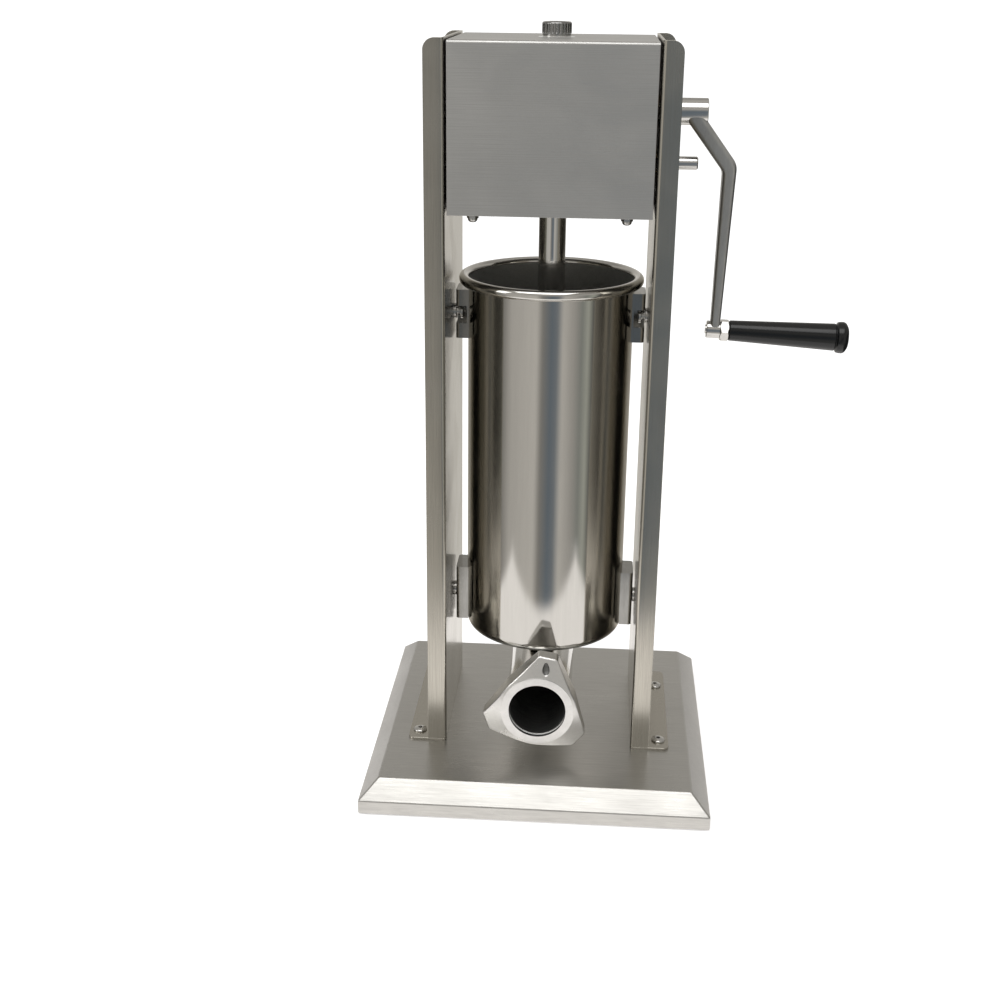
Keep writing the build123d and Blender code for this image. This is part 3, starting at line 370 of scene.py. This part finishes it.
def moulded(name, colour, roughness, grain=900.0, depth=12.0, mottle=0.08, coat=0.0):
    """Rubber or plastic with a fine moulded skin and a slight mottle."""
    made = bpy.data.materials.new(name)
    made.use_nodes = True
    tree = made.node_tree
    shader = tree.nodes["Principled BSDF"]
    shader.inputs["Coat Weight"].default_value = coat
    shader.inputs["Coat Roughness"].default_value = 0.06
    place = node(tree, "ShaderNodeTexCoord").outputs["Object"]
    handled = node(tree, "ShaderNodeGroup", {"Vector": place}, node_tree=handling)
    dark = tuple(c * (1 - mottle) for c in colour)
    light = tuple(min(1, c * (1 + mottle)) for c in colour)
    tint = ramp(tree, handled.outputs["Smear"], [(0, dark), (1, light)])
    tree.links.new(tint, shader.inputs["Base Color"])
    rough = node(
        tree, "ShaderNodeMath",
        {0: handled.outputs["Smear"], 1: 0.3 * roughness, 2: 0.85 * roughness},
        operation="MULTIPLY_ADD",
    )
    tree.links.new(rough.outputs[0], shader.inputs["Roughness"])
    skin_grain = node(
        tree, "ShaderNodeTexNoise", {"Vector": place, "Scale": grain, "Detail": 2.0}
    )
    bump = node(
        tree, "ShaderNodeBump",
        {"Height": skin_grain.outputs["Fac"], "Distance": depth * 1e-6, "Strength": 1.0},
    )
    tree.links.new(bump.outputs[0], shader.inputs["Normal"])
    return made


def fit(piece, body, slot, material, *nodes):
    """A finished piece: its material, the body it moves with and the nodes it is."""
    piece.data.materials.clear()
    piece.data.materials.append(material)
    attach(piece, body)
    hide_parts(*nodes)


def dress(material, *nodes):
    """The same material on every slot of these carried-over nodes."""
    for name in nodes:
        for material_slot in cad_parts[name].material_slots:
            material_slot.material = material


pan_outside = rounded([(0, 28), (134, 28), (150, 13), (150, 1.5)], (0, 2.6, 2.2, 0))
pan_inside = rounded([(148, 1.5), (148, 12.13), (133.2, 26), (0, 26)], (0, 0.8, 0.8, 0))
pan_profile = np.concatenate((pan_outside, pan_inside))
pan_angle = np.concatenate([np.linspace(k, k + 1, 6) for k in range(4)]) * pi / 2
pan_angle = np.append(pan_angle, 0.0)
pan_sign = np.append(np.repeat(((1, 1), (-1, 1), (-1, -1), (1, -1)), 6, 0), ((1, 1),), 0)


def square_rings(profile, corner):
    """Square rings of half-size profile[0] at height profile[1]: each corner is an arc
    about its own centre, which sits one corner radius in from both sides."""
    half, z = profile[:, 0, None], profile[:, 1, None]
    radius = np.minimum(corner, half)
    x = pan_sign[:, 0] * (half - radius) + radius * np.cos(pan_angle)
    y = pan_sign[:, 1] * (half - radius) + radius * np.sin(pan_angle)
    return np.stack((x, y, np.broadcast_to(z, x.shape)), -1)


base_satin = metal("base_satin", (0.60, 0.59, 0.565), 0.30, (30, 1500, 400), 0.09, 5.0)
base_pan = crisp(skin("base_pan", square_rings(pan_profile, 1.6)), 0.3)
fit(base_pan, "frame", "base_steel", base_satin, "base_plate")

foot_rubber = moulded("foot_rubber", (0.02, 0.02, 0.021), 0.6, depth=30.0)
dress(foot_rubber, "rubber_feet")

# ------------------------------------------------------------------ uprights
# Two channels folded from 2 mm brushed sheet, webs towards the barrel and flanges
# outwards, the flanges' top corners rounded. Each stands on a turned-out foot.


def sheet(name, outer, inner):
    """Sheet metal: an outer and an inner (rows, columns, 3) surface and the narrow
    sheared rim that joins their borders."""

    def border(grid):
        return np.concatenate((grid[:, 0], grid[-1, 1:], grid[-2::-1, -1], grid[0, -2::-1]))

    return skin(name, outer, inner, np.stack((border(outer), border(inner))))


front_y, back_y, web_x, flange_tip_x = -67, 83, 82.5, 99
sheet_thickness, foot_top, upright_rise, tip_round, tip_steps = 2, 30, 602, 9, 11
foot_reach = 117
corner_cut = tip_round * (1 - np.cos(np.linspace(0, pi / 2, tip_steps)))
corner_drop = tip_round - np.sqrt(tip_round**2 - (tip_round - corner_cut) ** 2)


def channel(front, web, back, bend):
    """Path round the channel's section, from flange tip over web to flange tip."""
    tip = np.stack((flange_tip_x - corner_cut, np.full(tip_steps, front)), -1)
    corners = [(flange_tip_x, front), (web, front), (web, back), (flange_tip_x, back)]
    folds = rounded(corners, bend)[1:-1]
    far_tip = np.stack((flange_tip_x - corner_cut, np.full(tip_steps, back)), -1)[::-1]
    return np.concatenate((tip, folds, far_tip))


def stand_up(path, side):
    """The section path carried straight up to a top edge that drops round at the tips."""
    drop = np.zeros(len(path))
    drop[:tip_steps], drop[-tip_steps:] = corner_drop, corner_drop[::-1]
    share = np.linspace(0, 1, 7)
    z = foot_top + share * (upright_rise - drop)[:, None]
    x = np.broadcast_to(side * path[:, :1], z.shape)
    y = np.broadcast_to(path[:, 1:], z.shape)
    return np.stack((x, y, z), -1)


def plate(name, outline, low, high, turn=lambda points: points):
    """Flat plate: fans from a middle point to its outline, above and below."""
    middle = outline.mean(0, keepdims=True).repeat(len(outline), 0)
    rows = ((middle, high), (outline, high), (outline, low), (middle, low))
    grid = [np.column_stack((ring, np.full(len(ring), z))) for ring, z in rows]
    return skin(name, turn(np.stack(grid)))


upright_brushed = metal(
    "upright_brushed", (0.52, 0.495, 0.44), 0.20, (1300, 1300, 16), 0.10, 3.5
)
for side, side_name in ((-1, "left"), (1, "right")):
    folded = sheet(
        f"upright_channel_{side_name}",
        stand_up(channel(front_y, web_x, back_y, 3), side),
        stand_up(
            channel(
                front_y + sheet_thickness, web_x + sheet_thickness, back_y - sheet_thickness, 1
            ),
            side,
        ),
    )
    fit(crisp(folded, 0.3), "frame", "satin_steel", upright_brushed, f"upright_{side_name}")
    foot_outline = rounded(
        [(web_x, front_y), (foot_reach, front_y), (foot_reach, back_y), (web_x, back_y)],
        (3, 5, 5, 3), closed=True,
    )
    foot = plate(
        f"upright_foot_{side_name}", foot_outline * (side, 1),
        foot_top - sheet_thickness, foot_top,
    )
    fit(crisp(foot, 0.3), "frame", "satin_steel", upright_brushed, f"upright_{side_name}")

# ------------------------------------------------------------------ foot screws
# Four bright socket screws with low domed heads hold the feet down to the pan, with
# plain nuts below.


def frame_of(axis):
    """Two directions square to an axis and to each other."""
    axis = np.array(axis, float)
    axis /= np.sqrt(axis @ axis)
    across = np.cross(axis, (0, 1, 0) if abs(axis[1]) < 0.9 else (0, 0, 1))
    across /= np.sqrt(across @ across)
    return across, np.cross(axis, across), axis


def turned_grid(profile, place, axis, columns=72, spin=0.0):
    """A turned part: (radius, station) carried round an axis. Where a row has a third
    number, a hexagon of that half-width trims it: no point is further out than
    the half-width over the cosine of its angle from the nearest flat's middle."""
    rows = [tuple(row) + (1e3,) * (3 - len(row)) for row in profile]
    radius, station, flat = np.array(rows, float).T[:, :, None]
    angle = np.linspace(0, 2 * pi, columns + 1)
    off_flat = (angle + pi / 6) % (pi / 3) - pi / 6
    reach = np.minimum(radius, flat / np.cos(off_flat))
    first, second, along = frame_of(axis)
    ring = (
        np.cos(angle + spin)[:, None] * first + np.sin(angle + spin)[:, None] * second
    )
    return np.array(place) + reach[..., None] * ring + station[..., None] * along


def dome(radius, height, low, steps=6):
    """(radius, station) rows of a low dome, from its rim to near its middle."""
    share = np.linspace(0, 1, steps)[:-1]
    return [(radius * cos(s * pi / 2), low + height * sin(s * pi / 2)) for s in share]


screw_steel = metal("screw_steel", (0.66, 0.65, 0.63), 0.2, (400, 400, 400), 0.05, 1.5)
foot_screw = (
    [(0, -11.5), (3, -11.5), (3, 0), (5.7, 0), (6, 0.3), (6, 0.9)]
    + dome(6, 2.0, 0.9)[1:]
    + [(9, 2.75, 2.6), (9, 1.0, 2.6), (0, 1.0)]
)
screws = skin(
    "foot_screw_heads",
    *[
        turned_grid(foot_screw, (x, y, foot_top), (0, 0, 1))
        for x in (-108, 108) for y in (-52.5, 52.5)
    ],
)
fit(crisp(screws), "frame", "fastener_steel", screw_steel, "foot_screws")
dress(screw_steel, "foot_nuts")

# ------------------------------------------------------------------ gearbox
# One brushed cover folded over front, top and back, closed below by a floor plate.
# Screws and dome nuts hold the two together, and tabs tie the floor to the webs.


def along_x(path, half):
    """A (y, z) section carried straight across from -half to +half in X."""
    x = np.linspace(-half, half, 5)
    y = np.broadcast_to(path[:, :1], (len(path), 5))
    z = np.broadcast_to(path[:, 1:], (len(path), 5))
    return np.stack((np.broadcast_to(x, y.shape), y, z), -1)


def combined(piece, tool, operation):
    """The piece after a cut or a weld with a second solid, which is then thrown away."""
    joint = piece.modifiers.new("work", "BOOLEAN")
    joint.operation, joint.object, joint.solver = operation, tool, "EXACT"
    worked = piece.evaluated_get(bpy.context.evaluated_depsgraph_get())
    mesh = bpy.data.meshes.new_from_object(worked)
    piece.modifiers.clear()
    piece.data = mesh
    bpy.data.objects.remove(tool)
    mesh.shade_smooth()
    mesh.set_sharp_from_angle(angle=radians(38))
    return piece


gearbox_brushed = metal(
    "gearbox_brushed", (0.60, 0.595, 0.58), 0.40, (14, 1400, 1400), 0.10, 9.0
)
cover_low, cover_top, cover_thickness, cover_half = 498.5, 630.5, 1.5, 80.8


def cover_face(inset, bend):
    """The cover's outer face, or its inner one when inset by the sheet's thickness."""
    front, back, crown = front_y + inset, back_y - inset, cover_top - inset
    corners = [(front, cover_low), (front, crown), (back, crown), (back, cover_low)]
    return along_x(rounded(corners, bend), cover_half)


cover = sheet("gearbox_cover_sheet", cover_face(0, 2.5), cover_face(cover_thickness, 1.0))
rod_foot, upwards = (0, 16, 0), (0, 0, 1)
drill_profile = [(0, 620), (15.1, 620), (15.1, 640), (0, 640)]
drill = skin("drill", turned_grid(drill_profile, rod_foot, upwards, 96))
combined(cover, drill, "DIFFERENCE")
fit(crisp(cover, 0.25), "frame", "satin_steel", gearbox_brushed, "gearbox_cover")
dress(gearbox_brushed, "gearbox_floor")
dress(screw_steel, "tab_screws", "tab_nuts", "cover_screws", "dome_nuts")

# ------------------------------------------------------------------ guides and bushes
# White plastic guides hold the rod, and bronze bushes carry both shafts in the webs.
guide_plastic = moulded("guide_plastic", (0.80, 0.80, 0.77), 0.42)
dress(guide_plastic, "rod_guide_top", "rod_guide_bottom")
bush_bronze = metal("bush_bronze", (0.62, 0.42, 0.21), 0.32, (300, 900, 900), 0.08, 2.0)
dress(bush_bronze, "main_bush_left", "main_bush_right", "slow_bush_left", "slow_bush_right")

# ------------------------------------------------------------------ studs and brackets
# Bright shouldered studs reach from the webs into slotted pockets welded to the
# barrel, two a side. A nut outside each web holds the stud.
stud_profile = [
    (0, 75.1), (6.0, 75.1), (6.5, 75.6), (6.5, 77.4), (6.0, 77.9), (4, 77.9), (4, 80.8),
    (6.1, 80.8), (6.5, 81.2), (6.5, 82.5), (4, 82.5), (4, 90.0), (3.5, 90.5), (0, 90.5),
]
stud_heights = (404, 142.5)


def at_studs(profile):
    """The same turned part on each of the four stud axes."""
    return [
        turned_grid(profile, (0, rod_foot[1], z), (side, 0, 0))
        for side in (-1, 1) for z in stud_heights
    ]


studs = skin("barrel_stud_pins", *at_studs(stud_profile))
fit(crisp(studs), "frame", "fastener_steel", screw_steel, "barrel_studs")
nut_profile = [
    (4, 84.5), (6.3, 84.5, 6.24), (6.75, 84.8, 6.24), (7.3, 85.2, 6.24),
    (7.3, 87.8, 6.24), (6.75, 88.2, 6.24), (6.3, 88.5, 6.24), (4, 88.5), (4, 84.5),
]
nuts = skin("stud_hex_nuts", *at_studs(nut_profile))
fit(crisp(nuts), "frame", "fastener_steel", screw_steel, "stud_nuts")
bracket_steel = metal("bracket_steel", (0.36, 0.355, 0.34), 0.14, (300, 300, 60), 0.07, 2.0)
dress(
    bracket_steel,
    "bracket_upper_left", "bracket_upper_right", "bracket_lower_left", "bracket_lower_right",
)

# ------------------------------------------------------------------ barrel
# A 1 mm stainless cylinder, mirror polished, with a rolled bead at the mouth and a
# rounded floor that opens into the outlet pipe.
bead_angle = np.radians(np.linspace(219, 540, 28))
bead = np.column_stack((74.5 + 4.5 * np.cos(bead_angle), 434.5 + 4.5 * np.sin(bead_angle)))
barrel_profile = np.concatenate((
    rounded([(24.5, 113.3), (71, 113.3), (71, 431.67)], (0, 8, 0), steps=12),
    bead,
    rounded([(70, 420), (70, 114.5), (24.5, 114.5)], (0, 7, 0), steps=12),
    [(24.5, 113.3)],
))
barrel_mirror = metal("barrel_mirror", (0.63, 0.615, 0.585), 0.085, (260, 260, 14), 0.02, 0.0, 0.05)
barrel = skin("barrel_shell", turned_grid(barrel_profile, rod_foot, upwards, 192))
fit(crisp(barrel), "frame", "polished_steel", barrel_mirror, "barrel")
barrel_inside = metal("barrel_inside", (0.64, 0.64, 0.62), 0.34, (300, 300, 900), 0.05, 3.0)


def second_material(piece, material, chosen):
    """Another material on the faces that chosen picks by the x, y, z of their middles: a rougher
    finish inside the barrel, painted shade in the bores of the pipe and the nut.
    """
    middle = np.empty(len(piece.data.polygons) * 3)
    piece.data.polygons.foreach_get("center", middle)
    picked = chosen(*(middle.reshape(-1, 3) * 1000).T)
    piece.data.materials.append(material)
    piece.data.polygons.foreach_set("material_index", picked.astype(np.int32))


second_material(
    barrel, barrel_inside,
    lambda x, y, z: (np.hypot(x, y - rod_foot[1]) < 70.4) & (z > 114) & (z < 433),
)

# ------------------------------------------------------------------ outlet pipe
# A polished pipe welded level under the barrel floor, closed at the back, with a
# short neck up into the barrel. A flat seal sits against its mouth.
outlet_z, bore = 80.5, 24.5
pipe_foot, backwards = (0, 0, outlet_z), (0, 1, 0)


def bar(name, radius, low, high, foot, axis):
    """A plain round bar, only used to weld on or to cut with."""
    profile = [(0, low), (radius, low), (radius, high), (0, high)]
    return skin(name, turned_grid(profile, foot, axis, 128))


pipe_profile = rounded([(0, -95.5), (28.5, -95.5), (28.5, 47), (0, 47)], (0, 0.4, 2, 0))
outlet = skin("outlet_tube", turned_grid(pipe_profile, pipe_foot, backwards, 128))
combined(outlet, bar("neck", 28.4, 82, 113.3, rod_foot, upwards), "UNION")
combined(outlet, bar("level_bore", bore, -99, 45, pipe_foot, backwards), "DIFFERENCE")
combined(outlet, bar("neck_bore", bore, 81, 116, rod_foot, upwards), "DIFFERENCE")
pipe_polish = metal("pipe_polish", (0.64, 0.63, 0.605), 0.10, (90, 400, 90), 0.03, 0.0)
fit(crisp(outlet), "frame", "polished_steel", pipe_polish, "outlet_pipe")
# Inside the bores the steel is rougher, as an unpolished bore, and darker: the darker colour is
# painted shade.
pipe_bore_painted_shade = metal("pipe_bore_painted_shade", (0.30, 0.30, 0.29), 0.42, (90, 400, 90), 0.15, 6.0)
bore_limit = bore + 0.2


def in_pipe(x, y, z):
    """Inside either bore, where shade is painted, and not the closed end's outer face."""
    level, upright = np.hypot(x, z - outlet_z), np.hypot(x, y - rod_foot[1])
    return ((level < bore_limit) | (upright < bore_limit)) & (y < 46)


second_material(outlet, pipe_bore_painted_shade, in_pipe)
seal_rubber = moulded("seal_rubber", (0.72, 0.72, 0.70), 0.5)
dress(seal_rubber, "outlet_seal", "piston_gasket")

# ------------------------------------------------------------------ ring nut
# A cast, tumbled nut that screws onto the pipe and holds the stuffing tube. Three
# wide lobes give a grip, and its front falls away outside a flat ring.
nut_columns = 721
nut_front_y, slope_from, slope_start_y, slope_drop, slope_run = -101, 32, -100.3, 8.3, 17
nut_angle = np.linspace(0, 2 * pi, nut_columns)


def nut_outline(angle):
    """Radius of the hull of a ring and three pairs of corner circles: at each angle it
    is the least, over all directions, of the hull's support over the cosine between."""
    direction = np.linspace(-pi, pi, 1440, endpoint=False)[:, None]
    support = np.full(direction.shape, 34.0)
    for lobe in np.radians((80, 200, 320)):
        for offset in (-6, 6):
            along, aside = 44 * np.cos(direction - lobe), offset * np.sin(direction - lobe)
            support = np.maximum(support, along + aside + 4)
    between = np.cos(angle - direction)
    return np.where(between > 0.02, support / np.maximum(between, 0.02), 1e3).min(0)


nut_edge = nut_outline(nut_angle)


def nut_cone(radius):
    return slope_start_y + np.maximum(radius - slope_from, 0) * slope_drop / slope_run


nut_rows = [
    (bore, -98), (bore, -100.5), (24.65, -100.85), (25.0, nut_front_y), (31.2, nut_front_y),
    (31.6, -100.9), (31.7, -100.4),
]
nut_rows = [(np.full(nut_columns, r), np.full(nut_columns, y)) for r, y in nut_rows]
for share in np.linspace(0, 1, 26):
    radius = slope_from + share * (nut_edge - 0.9 - slope_from)
    nut_rows.append((radius, nut_cone(radius)))
for inset, lag in ((0.5, 0.1), (0.18, 0.4), (0, 0.9)):
    nut_rows.append((nut_edge - inset, nut_cone(nut_edge) + lag))
for turn in np.linspace(0, pi / 2, 6):
    nut_rows.append(
        (nut_edge - 1.5 * (1 - cos(turn)), np.full(nut_columns, -80.5 + 1.5 * sin(turn)))
    )
for r, y in ((28.6, -79), (28.6, -98), (bore, -98)):
    nut_rows.append((np.full(nut_columns, r), np.full(nut_columns, y)))
nut_r, nut_y = (np.stack(part) for part in zip(*nut_rows))
nut_x, nut_z = nut_r * np.cos(nut_angle), nut_r * np.sin(nut_angle)
front_rows = 33
on_front = np.arange(len(nut_r))[:, None] < front_rows
recess_x, recess_z, recess_half, recess_height = 6.8, 38.6, 2.9, 5.0
recess_taper, recess_depth = 0.16, 2.2


def recess_reach(x, z):
    """1 on the rim of a teardrop that narrows upwards, less than 1 inside it."""
    rise = z - recess_z
    return ((x - recess_x) / (recess_half - recess_taper * rise)) ** 2 + (rise / recess_height) ** 2


dimple = np.sqrt(np.maximum(1 - recess_reach(nut_x, nut_z), 0)) * on_front
ring_nut = skin(
    "ring_nut_casting",
    np.stack((nut_x, nut_y + recess_depth * dimple, nut_z + outlet_z), -1),
)
tumbled_cast = metal(
    "tumbled_cast", (0.80, 0.79, 0.77), 0.30, (120, 120, 120), 0.04, 14.0, blasted=420.0
)
fit(crisp(ring_nut), "ring_nut", "cast_metal", tumbled_cast, "ring_nut")
# In the nut's bore and recess the metal is rougher and painted dark: the dark colour is painted
# shade.
nut_hollow_painted_shade = metal("nut_hollow_painted_shade", (0.20, 0.20, 0.195), 0.45, (120, 120, 120), 0.1, 20.0)


def in_hollow(x, y, z):
    """The nut's bore, and the recess near the tip of its top lobe, where shade is painted."""
    recess = (recess_reach(x, z - outlet_z) < 0.95) & (y < -90)
    return (np.hypot(x, z - outlet_z) < bore_limit) | recess


second_material(ring_nut, nut_hollow_painted_shade, in_hollow)

# ------------------------------------------------------------------ piston and rod
# The rod is a bright bar with rack teeth down its back and a knurled cap on top. It
# carries two plates that clamp a white gasket, and an air valve.
bright_bar = metal("bright_bar", (0.66, 0.65, 0.63), 0.10, (300, 300, 30), 0.03, 0.0)
dress(bright_bar, "piston_rod", "piston_nut", "air_valve")
plate_steel = metal("plate_steel", (0.62, 0.61, 0.59), 0.22, (200, 200, 200), 0.06, 2.0)
dress(plate_steel, "piston_plate_lower", "piston_plate_upper")

cap_angle = np.linspace(0, 2 * pi, 289)
cap_groove = 0.55 * (0.5 + 0.5 * np.cos(24 * cap_angle)) ** 3
cap_rows = [
    (0, 631.2, 0), (11.0, 631.2, 0), (11.6, 631.5, 0), (11.6, 633, 0), (12, 633.3, 0.2),
    (12, 633.8, 1), (12, 640.2, 1), (12, 640.8, 0.2), (11.7, 641.4, 0), (10.9, 642.0, 0),
    (9.5, 642.2, 0), (7.5, 642.2, 0), (6.6, 641.6, 0), (0, 641.4, 0),
]
cap_r, cap_z, cap_cut = np.array(cap_rows, float).T[:, :, None]
cap_reach = cap_r - cap_cut * cap_groove
cap_grid = np.stack((
    cap_reach * np.cos(cap_angle),
    rod_foot[1] + cap_reach * np.sin(cap_angle),
    np.broadcast_to(cap_z, cap_reach.shape),
), -1)
rod_cap = skin("rod_cap_knurled", cap_grid)
cap_chrome = metal("cap_chrome", (0.34, 0.34, 0.335), 0.12, (300, 300, 30), 0.05, 0.5)
fit(crisp(rod_cap), "piston", "fastener_steel", cap_chrome, "rod_cap")

# ------------------------------------------------------------------ shafts and gears
# Two ground shafts cross the gearbox. The gears and the distance tubes on them are
# machined steel, and the slow shaft has a bare end outside the right web.
ground_steel = metal("ground_steel", (0.66, 0.65, 0.63), 0.16, (40, 500, 500), 0.04, 1.0)
dress(
    ground_steel,
    "main_shaft", "main_keys", "rack_pinion", "drive_gear", "main_spacers",
    "slow_shaft", "slow_spacers",
)

# ------------------------------------------------------------------ crank
# A cast and blasted arm, cranked outwards, with a bright turned hub that is clamped
# on the shaft by a screw. A boss at its foot holds the grip's bolt.
hub_profile = [
    (7, 98), (10.4, 98), (10.8, 98.2), (11, 98.6), (11, 125.2), (10.7, 125.8), (10.2, 126),
    (7.6, 126), (7, 125.4), (7, 98),
]
shaft_y, main_shaft_z, grip_z = 37.5, 572, 388
hub = skin("crank_hub", turned_grid(hub_profile, (0, shaft_y, main_shaft_z), (1, 0, 0), 96))
fit(crisp(hub), "crank", "cast_metal", bright_bar, "crank_arm")

end_round, top_round, bend_z = 6.5, 10.4, 516
arm_z = np.concatenate((
    grip_z - end_round + end_round * (1 - np.cos(np.linspace(0, pi / 2, 10)))[:-1],
    np.linspace(grip_z, bend_z, 30),
    np.linspace(518, 582.4, 48),
))
arm_outside = rounded(
    [(146.3, 380), (152.5, 530), (125, 566), (125, 590)], (0, 14, 5, 0), steps=14
)
arm_inside = rounded(
    [(138.3, 380), (140.5, 524), (108, 566), (108, 590)], (0, 10, 6, 0), steps=14
)
outside_x = np.interp(arm_z, arm_outside[:, 1], arm_outside[:, 0])
inside_x = np.interp(arm_z, arm_inside[:, 1], arm_inside[:, 0])
widening = np.clip((arm_z - grip_z) / (main_shaft_z - grip_z), 0, 1)
arm_half = end_round + (top_round - end_round) * widening


def round_end(radius, beyond):
    """Half-width of a circle at a distance beyond its middle."""
    return np.sqrt(np.maximum(radius**2 - beyond**2, 0))


arm_half = np.where(arm_z < grip_z, round_end(end_round, grip_z - arm_z), arm_half)
arm_half = np.where(arm_z > main_shaft_z, round_end(top_round, arm_z - main_shaft_z), arm_half)
arm_columns, squareness = 65, 4.5
arm_angle = np.linspace(0, 2 * pi, arm_columns)


def cushion_shape(value, power):
    """Sine or cosine flattened towards +1 and -1: its sign times its size to 2/power."""
    return np.sign(value) * np.abs(value) ** (2 / power)


arm_middle, arm_thick = (outside_x + inside_x) / 2, (outside_x - inside_x) / 2
arm_grid = np.stack((
    arm_middle[:, None] + arm_thick[:, None] * cushion_shape(np.cos(arm_angle), squareness),
    shaft_y + arm_half[:, None] * cushion_shape(np.sin(arm_angle), squareness),
    np.broadcast_to(arm_z[:, None], (len(arm_z), arm_columns)),
), -1)
closing = arm_grid.mean(1, keepdims=True).repeat(arm_columns, 1)
arm_grid = np.concatenate((closing[:1], arm_grid, closing[-1:]))
blasted_cast = metal(
    "blasted_cast", (0.50, 0.50, 0.49), 0.36, (150, 150, 40), 0.10, 45.0, blasted=620.0
)
arm = skin("crank_arm_casting", arm_grid)
fit(crisp(arm), "crank", "cast_metal", blasted_cast, "crank_arm")

droop = radians(2.2)
grip_axis = (cos(droop), 0, -sin(droop))
grip_foot = (147.3, shaft_y, grip_z)
boss_profile = [(0, -12), (7.1, -12), (7.5, -11.6), (7.5, -0.5), (7.1, -0.1), (0, -0.1)]
boss = skin("crank_boss", turned_grid(boss_profile, grip_foot, grip_axis))
fit(crisp(boss), "crank", "cast_metal", bright_bar, "crank_arm")
grip_nut_profile = [
    (4, 0), (8.7, 0, 8.45), (9.1, 0.25, 8.45), (9.5, 0.5, 8.45), (9.9, 0.9, 8.45),
    (9.9, 6.1, 8.45), (9.5, 6.5, 8.45), (9.1, 6.75, 8.45), (8.7, 7, 8.45), (4, 7), (4, 0),
]
grip_nut = skin("grip_hex_nut", turned_grid(grip_nut_profile, grip_foot, grip_axis))
fit(crisp(grip_nut), "crank", "fastener_steel", bright_bar, "grip_nut")
dress(screw_steel, "crank_screw", "grip_bolt")

# ------------------------------------------------------------------ grip
# A glossy black moulded grip that spins on its bolt: a long taper that ends in a
# rounded bulb, with the bolt's head sunk in its end.
grip_profile = np.concatenate((
    rounded(
        [(4.1, 7.3), (8.8, 7.3), (11.8, 98.5), (11.1, 99.6), (12.8, 101)],
        (0, 1.4, 0.5, 0.4, 0),
    )[:-1],
    [
        (13.7 - 0.9 * (s**2) - (3.3 * max(0, s) ** 3), 105 + 4.95 * s)
        for s in np.linspace(-0.8, 1, 14)
    ],
    rounded([(9.5, 110), (8.5, 110), (8.5, 102), (4.1, 102), (4.1, 7.3)], (0, 0.3, 0, 0, 0)),
))
grip_gloss = moulded(
    "grip_gloss", (0.004, 0.0045, 0.005), 0.22, grain=260.0, depth=6.0
)
grip = skin("grip_moulding", turned_grid(grip_profile, grip_foot, grip_axis, 96))
fit(crisp(grip), "grip", "grip_plastic", grip_gloss, "grip")
